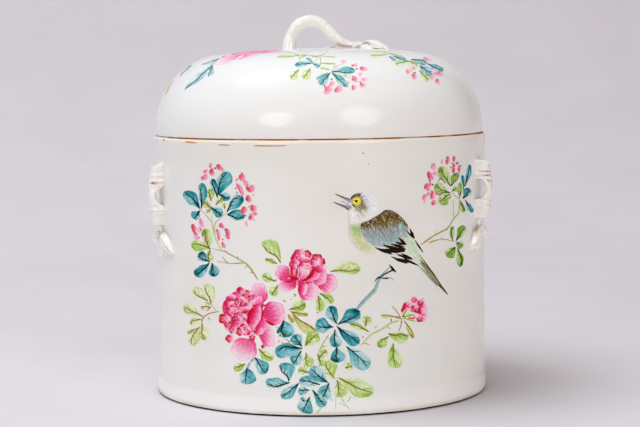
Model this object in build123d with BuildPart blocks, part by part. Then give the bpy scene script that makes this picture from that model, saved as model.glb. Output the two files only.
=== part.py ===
from build123d import *
import os
from math import atan2, cos, degrees, pi, radians, sin, sqrt

# Lidded porcelain jar: a cylindrical jar with a domed lid that lifts off, bamboo-stem lugs with leaf
# sprigs on the wall, and a branch handle with a leaf sprig on the lid. Millimetres, +Z up, the origin at
# the centre of the foot, the painted front towards -Y.

# Jar wall, foot and base
jar_radius = 135.0
jar_height = 210.0
wall = 7.0
lip_round = 3.0
heel_height = 14.0
heel_band = 8.0
heel_proud = 0.8
foot_round = 3.0
base_recess = 5.0
base_thickness = 9.0

# Lid
lid_setback = 2.0
lid_wall = 6.5
lid_skirt = 4.7
lid_shoulder = 60.0
lid_crown = 637.0
lid_edge_round = 1.2

# Upright collar in the mouth that keeps the lid central
collar_rise = 10.0
collar_depth = 12.0
collar_thickness = 5.5
collar_round = 1.5
lid_clearance = 1.2

# Branch handle on the lid: two straight runs joined by one bend, in the plane that faces the front
stem_radius = 5.1
handle_left = 23.6
handle_peak_left = 12.9
handle_peak_rise = 32.8
handle_right = 26.5
handle_bend = 14.0
handle_sink = 2.5

# Bamboo lugs: straight runs of stem that meet in a bow, with raised rings at two joints and an eye behind
# the bow; each stand is how far the stem's axis lies outside the wall, each drop how far the eye's middle
# lies below the rim
lug_angle = 68.0
left_lug_drop = 47.5
right_lug_drop = 45.0
lug_length = 48.0
lug_radius = 6.0
lug_joint_spread = 20.0
lug_stand_top = 3.2
lug_stand_upper = 4.2
lug_stand_middle = 5.8
lug_stand_lower = 3.6
lug_stand_bottom = 2.2
lug_ring_proud = 0.7
lug_ring_width = 1.8
lug_ring_pitch = 3.2
eye_radius = 8.2
eye_depth = 6.0

# Twigs and leaves laid on with slip
twig_radius = 1.7
twig_length = 6.5
leaf_thickness = 1.5
leaf_arch = 1.5
leaf_seat = 0.7
leaf_gap = 1.6

# Each leaf: its direction in degrees from straight along its twig, its length and its width
left_leaves = ((-52.0, 16.0, 6.4), (-12.0, 19.0, 5.8), (38.0, 24.0, 5.6), (61.0, 27.0, 6.6))
right_leaves = ((-47.0, 26.0, 8.0), (-6.0, 19.0, 5.8), (46.0, 16.0, 6.4))
lid_leaves = ((-66.0, 19.0, 8.0), (-24.0, 24.0, 8.4), (18.0, 22.0, 7.6), (60.0, 18.0, 7.6))
lid_twig_start = 27.0
lid_twig_length = 10.0
back_leaf_place = 16.0
back_leaf_turn = 112.0
back_leaf_length = 22.0
back_leaf_width = 7.0
back_leaf_gap = 6.5

# Sizes worked out from the ones above
wall_inner = jar_radius - wall
lid_radius = jar_radius - lid_setback
lid_inner = lid_radius - lid_wall
shoulder_centre = lid_radius - lid_shoulder
shoulder_height = jar_height + lid_skirt
crown_drop = sqrt((lid_crown - lid_shoulder) ** 2 - shoulder_centre**2)
crown_height = shoulder_height - crown_drop
lid_top = crown_height + lid_crown
shoulder_sweep = degrees(atan2(crown_drop, shoulder_centre))
collar_reach = max(collar_rise - lid_skirt, 0.0)
lid_inner_at_collar = shoulder_centre + sqrt((lid_shoulder - lid_wall) ** 2 - collar_reach**2)
collar_outer = lid_inner_at_collar - lid_clearance
collar_inner = collar_outer - collar_thickness

os.makedirs("parts", exist_ok=True)


def save(part, name):
    """Labels one finished piece and writes it under its own name."""
    part.label = name
    export_step(part, f"parts/{name}.step")


def lid_outline(inset):
    """Draws the lid's round shoulder and shallow crown, moved inwards by the inset."""
    CenterArc((shoulder_centre, shoulder_height), lid_shoulder - inset, 0, shoulder_sweep)
    CenterArc((0, crown_height), lid_crown - inset, shoulder_sweep, 90 - shoulder_sweep)


# Thrown wall with a rounded lip, a slightly proud heel and its lower edge as the foot ring
with BuildPart() as jar_wall:
    with BuildSketch(Plane.XZ):
        with BuildLine():
            heel_radius = jar_radius + heel_proud
            foot = Line((wall_inner, 0), (heel_radius - foot_round, 0))
            toe = JernArc(foot @ 1, (1, 0), foot_round, 90)
            heel = Polyline(toe @ 1, (heel_radius, heel_band), (jar_radius, heel_height))
            side = Line(heel @ 1, (jar_radius, jar_height - lip_round))
            lip = JernArc(side @ 1, (0, 1), lip_round, 90)
            Polyline(lip @ 1, (wall_inner, jar_height), foot @ 0)
        make_face()
    revolve(axis=Axis.Z)
save(jar_wall.part, "jar_wall")

# Base slab set inside the wall, clear of the ground
with BuildPart() as base_slab:
    with BuildSketch(Plane.XY.offset(base_recess)):
        Circle(wall_inner)
    extrude(amount=base_thickness)
save(base_slab.part, "base_slab")

# Collar ring: its lower half lines the wall, its upper half stands inside the lid
with BuildPart() as mouth_collar:
    with BuildSketch(Plane.XZ) as collar_section:
        with BuildLine():
            Polyline(
                (collar_inner, jar_height - collar_depth),
                (wall_inner, jar_height - collar_depth),
                (wall_inner, jar_height),
                (collar_outer, jar_height),
                (collar_outer, jar_height + collar_rise),
                (collar_inner, jar_height + collar_rise),
                close=True,
            )
        make_face()
        fillet(collar_section.vertices().group_by(Axis.Y)[-1], collar_round)
    revolve(axis=Axis.Z)
save(mouth_collar.part, "mouth_collar")

# Domed lid, a shell of even thickness that rests on the jar's lip
with BuildPart() as lid_dome:
    with BuildSketch(Plane.XZ):
        with BuildLine():
            lid_outline(0)
            lid_outline(lid_wall)
            edge = Line((lid_inner, jar_height), (lid_radius - lid_edge_round, jar_height))
            turn = JernArc(edge @ 1, (1, 0), lid_edge_round, 90)
            Line(turn @ 1, (lid_radius, shoulder_height))
            Line(edge @ 0, (lid_inner, shoulder_height))
            Line((0, lid_top - lid_wall), (0, lid_top))
        make_face()
    revolve(axis=Axis.Z)
save(lid_dome.part, "lid_dome")

# Full forms of the jar and the lid, used to trim what is laid on them
with BuildPart() as jar_form:
    Cylinder(jar_radius, jar_height, align=(Align.CENTER, Align.CENTER, Align.MIN))

with BuildPart() as lid_form:
    with BuildSketch(Plane.XZ):
        with BuildLine():
            lid_outline(0)
            Polyline((0, lid_top), (0, jar_height), (lid_radius, jar_height), (lid_radius, shoulder_height))
        make_face()
    revolve(axis=Axis.Z)


def twig(start, end, *cutters):
    """A straight round twig between two points, trimmed by what it lies on and grows from."""
    with BuildPart() as piece:
        with BuildSketch(Plane(origin=start, z_dir=Vector(*end) - Vector(*start))):
            Circle(twig_radius)
        extrude(amount=(Vector(*end) - Vector(*start)).length)
        for cutter in cutters:
            add(cutter, mode=Mode.SUBTRACT)
    return piece.part


def leaf(base, length, width, *cutters):
    """A pointed leaf along the base plane's X that arches off the surface and is trimmed flush with it."""
    stations = (0.02, 0.2, 0.45, 0.75, 0.98)
    with BuildPart() as piece:
        for share in stations:
            rise = leaf_seat + 4 * leaf_arch * share * (1 - share)
            slope = 4 * leaf_arch * (1 - 2 * share) / length
            half_width = width / 2 * sin(pi * share**0.8) ** 0.8
            half_thickness = leaf_thickness * (0.35 + 0.65 * sin(pi * share))
            place = Plane(
                origin=base.from_local_coords((share * length, 0, rise)),
                x_dir=base.y_dir,
                z_dir=base.x_dir + base.z_dir * slope,
            )
            with BuildSketch(place):
                with BuildLine():
                    ThreePointArc((-half_width, 0), (0, half_thickness), (half_width, 0))
                    ThreePointArc((half_width, 0), (0, -half_thickness), (-half_width, 0))
                make_face()
        loft()
        for cutter in cutters:
            add(cutter, mode=Mode.SUBTRACT)
    return piece.part


def leaf_plane(knot, turn, gap):
    """The knot's plane turned about its normal, with its origin moved out to where the leaf begins."""
    heading = knot.x_dir * cos(radians(turn)) + knot.y_dir * sin(radians(turn))
    return Plane(origin=knot.origin + heading * gap, x_dir=heading, z_dir=knot.z_dir)


def lug(side, angle, drop, leaves):
    """One bamboo lug with its twig and leaves, at an angle round the jar from the front."""
    outward = Vector(sin(radians(angle)), -cos(radians(angle)), 0)
    lug_middle = jar_height - drop
    foot = outward * jar_radius + Vector(0, 0, lug_middle)
    radial = Plane(origin=foot, x_dir=outward, z_dir=outward.cross(Vector(0, 0, 1)))
    joints = [
        radial.from_local_coords((lug_stand_top, lug_length / 2, 0)),
        radial.from_local_coords((lug_stand_upper, lug_joint_spread / 2, 0)),
        radial.from_local_coords((lug_stand_middle, 0, 0)),
        radial.from_local_coords((lug_stand_lower, -lug_joint_spread / 2, 0)),
        radial.from_local_coords((lug_stand_bottom, -lug_length / 2, 0)),
    ]
    with BuildPart() as stem:
        for joint in joints:
            with BuildSketch(Plane(origin=joint, x_dir=outward)):
                Circle(lug_radius)
        loft(ruled=True)
        for joint in (joints[1], joints[3]):
            for shift in (-lug_ring_pitch / 2, lug_ring_pitch / 2):
                with BuildSketch(Plane(origin=joint, x_dir=outward).offset(shift)):
                    Circle(lug_radius + lug_ring_proud)
                extrude(amount=lug_ring_width / 2, both=True)
        add(jar_form.part, mode=Mode.SUBTRACT)
        with BuildSketch(radial):
            with Locations((eye_depth - eye_radius, 0)):
                Circle(eye_radius)
        extrude(amount=2 * lug_radius, both=True, mode=Mode.SUBTRACT)
    save(stem.part, f"{side}_lug_stem")

    start = radial.from_local_coords((twig_radius / 2, -lug_length / 2 + twig_radius, 0))
    end = radial.from_local_coords((twig_radius / 2, -lug_length / 2 - twig_length, 0))
    stalk = twig(start, end, stem.part, jar_form.part)
    save(stalk, f"{side}_lug_twig")

    knot_height = lug_middle - lug_length / 2 - twig_length
    knot = Plane(
        origin=outward * jar_radius + Vector(0, 0, knot_height),
        x_dir=(0, 0, -1),
        z_dir=outward,
    )
    laid = [stalk]
    for number, (turn, length, width) in enumerate(leaves, start=1):
        piece = leaf(leaf_plane(knot, turn, leaf_gap), length, width, jar_form.part, *laid)
        save(piece, f"{side}_lug_leaf_{number}")
        laid.append(piece)


lug("left", -lug_angle, left_lug_drop, left_leaves)
lug("right", lug_angle, right_lug_drop, right_leaves)

# Branch handle: rises on the left, bends over and runs down to lie on the crown on the right
with BuildPart() as lid_handle:
    with BuildLine(Plane.XZ) as branch:
        FilletPolyline(
            (-handle_left, lid_top - handle_sink),
            (-handle_peak_left, lid_top + handle_peak_rise),
            (handle_right, lid_top),
            radius=handle_bend,
        )
    with BuildSketch(Plane(origin=branch.line @ 0, z_dir=branch.line % 0)):
        Circle(stem_radius)
    sweep(path=branch.line)
    add(lid_form.part, mode=Mode.SUBTRACT)
save(lid_handle.part, "lid_handle")


def crown_plane(across, along):
    """The plane that touches the crown at a place seen from above, with X away from the handle."""
    height = crown_height + sqrt(lid_crown**2 - across**2 - along**2)
    normal = Vector(across, along, height - crown_height)
    return Plane(origin=(across, along, height), x_dir=(normal.Z, 0, -across), z_dir=normal)


# Sprig at the handle's right end
lid_stalk_start = crown_plane(lid_twig_start, 0).from_local_coords((0, 0, twig_radius / 2))
lid_knot = crown_plane(lid_twig_start + lid_twig_length, 0)
lid_stalk_end = lid_knot.from_local_coords((0, 0, twig_radius / 2))
lid_stalk = twig(lid_stalk_start, lid_stalk_end, lid_handle.part, lid_form.part)
save(lid_stalk, "lid_twig")

lid_laid = [lid_stalk]
for number, (turn, length, width) in enumerate(lid_leaves, start=1):
    piece = leaf(leaf_plane(lid_knot, turn, leaf_gap), length, width, lid_form.part, *lid_laid)
    save(piece, f"lid_leaf_{number}")
    lid_laid.append(piece)

# Single leaf that lies behind the handle's lower run
back_plane = leaf_plane(crown_plane(back_leaf_place, 0), back_leaf_turn, back_leaf_gap)
back_leaf = leaf(back_plane, back_leaf_length, back_leaf_width, lid_form.part, lid_handle.part)
save(back_leaf, "lid_back_leaf")
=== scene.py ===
from math import atan2, cos, hypot, pi, radians, sin, sqrt

import bmesh
import bpy
import numpy as np
from mathutils import Matrix, Vector


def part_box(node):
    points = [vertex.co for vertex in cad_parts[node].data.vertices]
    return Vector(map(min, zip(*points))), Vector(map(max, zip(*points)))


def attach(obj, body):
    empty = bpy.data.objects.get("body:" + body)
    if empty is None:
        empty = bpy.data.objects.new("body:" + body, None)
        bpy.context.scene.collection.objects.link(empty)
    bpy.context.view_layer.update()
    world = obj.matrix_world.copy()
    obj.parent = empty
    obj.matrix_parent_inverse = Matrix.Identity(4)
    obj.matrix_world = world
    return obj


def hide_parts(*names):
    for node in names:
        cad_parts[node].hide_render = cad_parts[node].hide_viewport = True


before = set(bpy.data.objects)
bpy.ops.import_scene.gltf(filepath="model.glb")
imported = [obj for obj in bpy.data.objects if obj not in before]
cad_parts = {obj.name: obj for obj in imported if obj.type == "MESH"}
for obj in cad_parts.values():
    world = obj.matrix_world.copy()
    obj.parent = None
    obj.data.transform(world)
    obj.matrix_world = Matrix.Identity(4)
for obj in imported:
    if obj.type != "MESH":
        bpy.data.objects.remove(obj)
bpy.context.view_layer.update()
mm = 0.001
rng = np.random.default_rng(7)
print("stage: frame loaded")

photoView = {
    "width": 640, "height": 427,      # the photograph's frame in pixels
    "focal": 1825.0,                  # pixels
    "place": (0.0, -1498.5, 268.0),   # mm
    "pitch": 4.75, "roll": -0.65,     # degrees down, degrees of tilt
    "pixel": 0.8,                     # mm on the jar, about
}


def addCamera(view):
    data = bpy.data.cameras.new("photoCamera")
    data.sensor_width = 36.0
    data.lens = view["focal"] / view["width"] * data.sensor_width
    data.clip_start = 0.05
    camera = bpy.data.objects.new("photoCamera", data)
    bpy.context.scene.collection.objects.link(camera)
    place = Matrix.Translation(Vector(view["place"]) * mm)
    tilt = Matrix.Rotation(radians(90 - view["pitch"]), 4, "X")
    camera.matrix_world = place @ tilt @ Matrix.Rotation(radians(view["roll"]), 4, "Z")
    bpy.context.scene.camera = camera
    return camera


cameraTurn = np.array(addCamera(photoView).matrix_world.to_3x3())
print("stage: camera")

jar = {   # mm
    "radius": 135.0, "height": 210.0, "wall": 7.0, "lipRound": 3.0, "flare": 0.7,
    "heelHeight": 14.0, "heelBand": 8.0, "heelProud": 0.1, "footRound": 3.0, "groove": 0.45,
    "baseLow": 5.0, "baseHigh": 14.0, "cove": 7.0,   # base slab and the round where it meets the wall
    "lipFlat": 130.5, "bevel": 0.8,                  # where the flat of the lip starts, the inner edges
    "wave": 0.16,                                    # throwing marks
    "turns": 320, "baseTurns": 160,                  # faces round the axis
}

lid = {
    "radius": 133.8, "wall": 7.3, "skirt": 5.6, "shoulder": 60.0, "crown": 760.0,
    "edgeRound": 1.2, "seat": 130.0, "wave": 0.10, "turns": 320,
}
lid["shoulderCentre"] = lid["radius"] - lid["shoulder"]
lid["shoulderHeight"] = jar["height"] + lid["skirt"]
lid["crownDrop"] = sqrt((lid["crown"] - lid["shoulder"]) ** 2 - lid["shoulderCentre"] ** 2)
lid["crownHeight"] = lid["shoulderHeight"] - lid["crownDrop"]
lid["top"] = lid["crownHeight"] + lid["crown"]
lid["crownAngle"] = atan2(lid["shoulderCentre"], lid["crownDrop"])
lid["crownArc"] = lid["crown"] * lid["crownAngle"]
lid["shoulderArc"] = lid["shoulder"] * (pi / 2 - lid["crownAngle"])


def smooth(low, high, value):
    share = np.clip((value - low) / (high - low), 0.0, 1.0)
    return share * share * (3 - 2 * share)


def hump(value, middle, width):
    return np.exp(-((value - middle) / width) ** 2)


def around(radius, turn, height):
    # turn 0 faces the camera
    return np.stack([radius * np.sin(turn), -radius * np.cos(turn), height + 0 * turn], -1)


def wallRadius(turn, height):
    # the plain radius plus a proud heel, a groove above it, a slight flare,
    # faint throwing rings and a slightly uneven round
    rings = np.sin(height / 10.5 + 0.7 * np.sin(turn)) + 0.8 * np.sin(height / 4.7 + 1.9)
    uneven = 1.2 * np.cos(2 * turn + 0.7) * height / jar["height"]
    heel = jar["heelProud"] * (1 - smooth(jar["heelBand"], jar["heelHeight"], height))
    fade = smooth(2.0, 20.0, height) * (1 - smooth(195.0, 207.0, height))
    turned = jar["flare"] * smooth(110.0, 205.0, height) - jar["groove"] * hump(height, jar["heelHeight"], 1.5)
    return jar["radius"] + heel + turned + jar["wave"] * fade * (rings + uneven)


def onWall(turn, height, lift=0.0):
    return around(wallRadius(turn, height) + lift, turn, height)


def lidSection(arc, inset=0.0):
    # the crown's wide arc, then the shoulder's arc, then the upright skirt, by the length from the top
    crownTurn = np.clip(arc / lid["crown"], 0, lid["crownAngle"])
    bend = np.clip((arc - lid["crownArc"]) / lid["shoulder"], 0, pi / 2 - lid["crownAngle"])
    drop = np.maximum(arc - lid["crownArc"] - lid["shoulderArc"], 0)
    onCrown = arc <= lid["crownArc"]
    lean = np.where(onCrown, crownTurn, lid["crownAngle"] + bend)
    size = np.where(onCrown, lid["crown"], lid["shoulder"]) - inset
    radius = np.where(onCrown, 0.0, lid["shoulderCentre"]) + size * np.sin(lean)
    height = np.where(onCrown, lid["crownHeight"], lid["shoulderHeight"]) + size * np.cos(lean) - drop
    return radius, height, lean


def onLid(turn, arc, lift=0.0):
    # lift follows the surface normal, with faint throwing rings that end at the top and the edge
    rings = np.sin(arc / 8.0) + 0.6 * np.cos(3 * turn + arc / 30)
    rise = lift + lid["wave"] * (smooth(4, 30, arc) - smooth(150, 168, arc)) * rings
    radius, height, lean = lidSection(arc)
    return around(radius + rise * np.sin(lean), turn, height + rise * np.cos(lean))


def crownLevel(x, y):
    return lid["crownHeight"] + np.sqrt(lid["crown"] ** 2 - x ** 2 - y ** 2)


def gridFaces(rows, columns, closeRows=False, closeColumns=False):
    index = np.arange(rows * columns).reshape(rows, columns)
    if closeRows:
        index = np.vstack([index, index[:1]])
    if closeColumns:
        index = np.hstack([index, index[:, :1]])
    return np.stack([index[:-1, :-1], index[:-1, 1:], index[1:, 1:], index[1:, :-1]], -1).reshape(-1, 4)


def makeMesh(name, points, faces, attributes=None, uv=None, merge=True, sharp=40.0):
    # points in mm; quads that share a corner become triangles when doubles are merged
    mesh = bpy.data.meshes.new(name)
    mesh.vertices.add(len(points))
    mesh.vertices.foreach_set("co", (points * mm).astype(np.float32).ravel())
    mesh.loops.add(faces.size)
    mesh.loops.foreach_set("vertex_index", faces.astype(np.int32).ravel())
    mesh.polygons.add(len(faces))
    mesh.polygons.foreach_set("loop_start", np.arange(0, faces.size, 4, dtype=np.int32))
    mesh.update(calc_edges=True)
    for key, values in (attributes or {}).items():
        kind, field = ("FLOAT_COLOR", "color") if values.ndim == 2 else ("FLOAT", "value")
        layer = mesh.attributes.new(key, kind, "POINT")
        layer.data.foreach_set(field, values.astype(np.float32).ravel())
    if uv is not None:
        layer = mesh.uv_layers.new(name="OFBake")
        layer.data.foreach_set("uv", uv[faces.ravel()].astype(np.float32).ravel())
    if merge:
        work = bmesh.new()
        work.from_mesh(mesh)
        bmesh.ops.remove_doubles(work, verts=work.verts, dist=2e-6)
        bmesh.ops.dissolve_degenerate(work, edges=work.edges, dist=1e-7)
        bmesh.ops.recalc_face_normals(work, faces=work.faces)
        work.to_mesh(mesh)
        work.free()
    mesh.polygons.foreach_set("use_smooth", np.ones(len(mesh.polygons), dtype=bool))
    mesh.set_sharp_from_angle(angle=radians(sharp))
    mesh.update()
    return mesh


def addPiece(name, mesh, material, body, slot, *nodes):
    piece = bpy.data.objects.new(name, mesh)
    bpy.context.scene.collection.objects.link(piece)
    mesh.materials.append(material)
    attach(piece, body)
    if nodes:
        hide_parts(*nodes)


def linear(red, green, blue):
    # display colour, 0 to 255, to scene colour
    values = np.array([red, green, blue]) / 255.0
    return tuple(np.where(values <= 0.04045, values / 12.92, ((values + 0.055) / 1.055) ** 2.4)) + (1.0,)


def node(tree, kind, **settings):
    made = tree.nodes.new(kind)
    for key, value in settings.items():
        setattr(made, key, value)
    return made


def feed(tree, sockets, values):
    # plain values are set, sockets are linked
    for socket, value in zip(sockets, values):
        if isinstance(value, (int, float, tuple)):
            socket.default_value = value
        else:
            tree.links.new(value, socket)


def settle(tree, made, values):
    feed(tree, [made.inputs[key] for key in values], values.values())
    return made


def objectPlace(tree):
    return node(tree, "ShaderNodeTexCoord").outputs["Object"]


def splitNode(tree, vector):
    made = node(tree, "ShaderNodeSeparateXYZ")
    tree.links.new(vector, made.inputs[0])
    return made


def noiseNode(tree, vector, scale, detail=3.0, roughness=0.55):
    values = {"Vector": vector, "Scale": scale, "Detail": detail, "Roughness": roughness}
    return settle(tree, node(tree, "ShaderNodeTexNoise"), values).outputs["Fac"]


def rampNode(tree, value, low, high, start=0.0, end=1.0):
    made = node(tree, "ShaderNodeMapRange", interpolation_type="SMOOTHSTEP")
    values = {"Value": value, "From Min": low, "From Max": high, "To Min": start, "To Max": end}
    return settle(tree, made, values).outputs["Result"]


def mathNode(tree, operation, first, second):
    made = node(tree, "ShaderNodeMath", operation=operation)
    feed(tree, made.inputs, (first, second))
    return made.outputs[0]


def times(tree, first, second):
    return mathNode(tree, "MULTIPLY", first, second)


def mixNode(tree, share, first, second, blend="MIX"):
    made = node(tree, "ShaderNodeMix", data_type="RGBA", blend_type=blend)
    feed(tree, (made.inputs[0], made.inputs[6], made.inputs[7]), (share, first, second))
    return made.outputs[2]


glazeTone = {key: linear(*tone) for key, tone in {   # display colours
    "white": (238, 237, 234), "warm": (231, 226, 217), "cool": (226, 231, 231), "speck": (150, 128, 104),
    "thick": (252, 250, 245), "cream": (236, 226, 208), "clear": (252, 252, 254), "lip": (250, 228, 200),
    "rust": (160, 104, 58), "biscuit": (196, 172, 146), "shadowAndBareEdge": (10, 4, 3),
    "stemStain": (176, 92, 26), "leafStain": (150, 104, 66), "clay": (214, 201, 184), "handled": (176, 141, 106),
}.items()}
wallBands = (   # height, half height, fade, wander in mm, colour of a stain or of painted light, amount
    # the clear band paints the lowest wall paler: a painted reflection of the bright floor
    (209.0, 0.7, 0.4, 0.5, "lip", 1.0), (210.1, 0.5, 0.25, 0.3, "rust", 1.2), (4.0, 4.0, 15.0, 0.0, "clear", 0.45),
    # the darkest band, at the very bottom, is painted shadow under the foot over its bare dark edge
    (0.0, 2.2, 3.2, 2.0, "biscuit", 0.45), (0.0, 1.15, 0.4, 0.4, "shadowAndBareEdge", 3.0),
)
# the clear band makes the whole lid a little whiter: painted light from above; rust at its lower edge
lidBands = ((255.0, 60.0, 5.0, 0.0, "clear", 0.2), (210.1, 0.3, 0.3, 0.3, "rust", 1.2))


def makeGlazeGroup():
    # white glaze: slow warm and cool clouds, a few iron specks, a slight orange-peel height
    group = bpy.data.node_groups.new("glazeSkin", "ShaderNodeTree")
    face = group.interface
    for name in ("Cloud", "Specks"):
        face.new_socket(name, in_out="INPUT", socket_type="NodeSocketFloat").default_value = 0.5
    for name, kind in (("Color", "Color"), ("Roughness", "Float"), ("Height", "Float")):
        face.new_socket(name, in_out="OUTPUT", socket_type=f"NodeSocket{kind}")
    start, end = node(group, "NodeGroupInput"), node(group, "NodeGroupOutput")
    where = objectPlace(group)
    warmth = rampNode(group, noiseNode(group, where, 9.0), 0.42, 0.68)
    coolness = rampNode(group, noiseNode(group, where, 5.0, 2.0), 0.5, 0.75)
    dots = settle(group, node(group, "ShaderNodeTexVoronoi"), {"Vector": where, "Scale": 95.0})
    chosen = rampNode(group, noiseNode(group, where, 31.0, 1.0), 0.66, 0.70)
    speck = times(group, rampNode(group, dots.outputs["Distance"], 0.10, 0.05), chosen)
    tone = glazeTone["white"]
    for mask, amount, name in ((warmth, "Cloud", "warm"), (coolness, "Cloud", "cool"), (speck, "Specks", "speck")):
        tone = mixNode(group, times(group, mask, start.outputs[amount]), tone, glazeTone[name])
    uneven = rampNode(group, noiseNode(group, where, 40.0), 0.3, 0.7, 0.05, 0.10)
    settle(group, end, {"Color": tone, "Roughness": uneven, "Height": noiseNode(group, where, 160.0, 2.0)})
    return group


glazeSkin = makeGlazeGroup()


def startMaterial(name):
    material = bpy.data.materials.new(name)
    material.use_nodes = True
    tree = material.node_tree
    tree.nodes.clear()
    end = node(tree, "ShaderNodeOutputMaterial")
    shader = node(tree, "ShaderNodeBsdfPrincipled")
    tree.links.new(shader.outputs[0], end.inputs["Surface"])
    return material, tree, shader


def placeGlaze(tree, cloud, specks):
    return settle(tree, node(tree, "ShaderNodeGroup", node_tree=glazeSkin), {"Cloud": cloud, "Specks": specks})


def addBump(tree, shader, height, strength, distance):
    bump = node(tree, "ShaderNodeBump")
    settle(tree, bump, {"Strength": strength, "Distance": distance, "Height": height})
    tree.links.new(bump.outputs["Normal"], shader.inputs["Normal"])


def bodyGlaze(name, bands, cloud):
    # glaze over the whole surface, with bare and stained bands at given heights, and bands of painted reflection and
    # painted shadow
    material, tree, shader = startMaterial(name)
    skin = placeGlaze(tree, cloud, 0.2)
    where = objectPlace(tree)
    level = splitNode(tree, where).outputs["Z"]
    ragged = mathNode(tree, "SUBTRACT", noiseNode(tree, where, 55.0, 4.0, 0.7), 0.5)
    color, roughness, gloss = skin.outputs["Color"], skin.outputs["Roughness"], 0.5
    for middle, half, fade, wander, stainAndPaintedLight, amount in bands:
        height = mathNode(tree, "ADD", level, times(tree, ragged, wander * mm))
        away = mathNode(tree, "ABSOLUTE", mathNode(tree, "SUBTRACT", height, middle * mm), 0)
        inside = rampNode(tree, away, (half + fade) * mm, half * mm)
        patchy = rampNode(tree, noiseNode(tree, where, 26.0, 4.0, 0.6), 0.36, 0.6, 0.35 if wander else 1.0, 1.0)
        share = mathNode(tree, "MINIMUM", times(tree, times(tree, inside, patchy), amount), 1.0)
        color = mixNode(tree, share, color, glazeTone[stainAndPaintedLight])
        roughness = mathNode(tree, "MAXIMUM", roughness, times(tree, share, 0.6))
        gloss = times(tree, gloss, mathNode(tree, "SUBTRACT", 1.0, share))
    settle(tree, shader, {"Base Color": color, "Roughness": roughness, "Specular IOR Level": gloss, "IOR": 1.5})
    addBump(tree, shader, skin.outputs["Height"], 0.06, 0.0006)
    return material


def reliefGlaze(name, stainAndPaintedLight):
    # thick glaze on the applied stems and leaves, with iron colour, and painted shade in hollows, where the stain
    # attribute says
    material, tree, shader = startMaterial(name)
    skin = placeGlaze(tree, 0.7, 0.3)
    mark = node(tree, "ShaderNodeAttribute", attribute_name="stainAndPaintedLight").outputs["Fac"]
    where = objectPlace(tree)
    share = times(tree, mark, rampNode(tree, noiseNode(tree, where, 900.0, 3.0, 0.7), 0.38, 0.5))
    cream = rampNode(tree, noiseNode(tree, where, 60.0), 0.35, 0.65, 0.0, 0.22)
    color = mixNode(tree, 0.6, skin.outputs["Color"], glazeTone["thick"])
    color = mixNode(tree, share, mixNode(tree, cream, color, glazeTone["cream"]), glazeTone[stainAndPaintedLight])
    roughness = mathNode(tree, "ADD", skin.outputs["Roughness"], times(tree, share, 0.4))
    settle(tree, shader, {"Base Color": color, "Roughness": roughness, "Coat Weight": 1.0, "Coat Roughness": 0.05})
    addBump(tree, shader, skin.outputs["Height"], 0.12, 0.0006)
    return material


def bareClay(name):
    # unglazed porcelain: dull, sandy, with brown handling stains
    material, tree, shader = startMaterial(name)
    where = objectPlace(tree)
    stains = rampNode(tree, noiseNode(tree, where, 22.0, 5.0, 0.65), 0.4, 0.66)
    color = mixNode(tree, stains, glazeTone["clay"], glazeTone["handled"])
    grain = noiseNode(tree, where, 900.0, 2.0)
    settle(tree, shader, {"Base Color": color, "Roughness": rampNode(tree, grain, 0.3, 0.7, 0.62, 0.82)})
    addBump(tree, shader, grain, 0.25, 0.0004)
    return material


wallGlaze = bodyGlaze("wallGlaze", wallBands, cloud=0.55)
domeGlaze = bodyGlaze("domeGlaze", lidBands, cloud=0.2)
reliefSkin = {kind: reliefGlaze(f"{kind}Glaze", f"{kind}Stain") for kind in ("stem", "leaf")}
collarClay = bareClay("collarClay")
print("stage: materials")


def arcPoints(centre, radius, start, end, count):
    angle = np.radians(np.linspace(start, end, count))
    return np.stack([centre[0] + radius * np.cos(angle), centre[1] + radius * np.sin(angle)], -1)


def runPoints(first, last, count):
    share = np.linspace(0, 1, count)[:, None]
    return np.array(first) * (1 - share) + np.array(last) * share


def smoothPath(points, count):
    # a curve through given points, its slope at each taken from the two beside it
    points = np.array(points, float).reshape(-1, 2)
    if len(points) == 2:
        return runPoints(points[0], points[1], count)
    slope = np.gradient(points, axis=0)
    place = np.linspace(0, len(points) - 1, count)
    step = np.minimum(place.astype(int), len(points) - 2)
    t = (place - step)[:, None]
    leave = (2 * t ** 3 - 3 * t ** 2 + 1) * points[step] + (t ** 3 - 2 * t ** 2 + t) * slope[step]
    return leave + (3 * t ** 2 - 2 * t ** 3) * points[step + 1] + (t ** 3 - t ** 2) * slope[step + 1]


def ringTurns(count):
    return np.linspace(0, 2 * pi, count, endpoint=False)


def lathe(profile, turns, shape=None):
    # each (radius, height) of the profile goes once round the axis
    angle = ringTurns(turns)[None, :]
    radius, height = profile[:, :1], profile[:, 1:]
    if shape is not None:
        radius = radius + shape(angle, height + 0 * angle)
    return around(radius, angle, height)


def addTurned(name, points, material, body, slot, node, closed=True):
    faces = gridFaces(*points.shape[:2], closed, True)
    addPiece(name, makeMesh(name, points.reshape(-1, 3), faces), material, body, slot, node)


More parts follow.
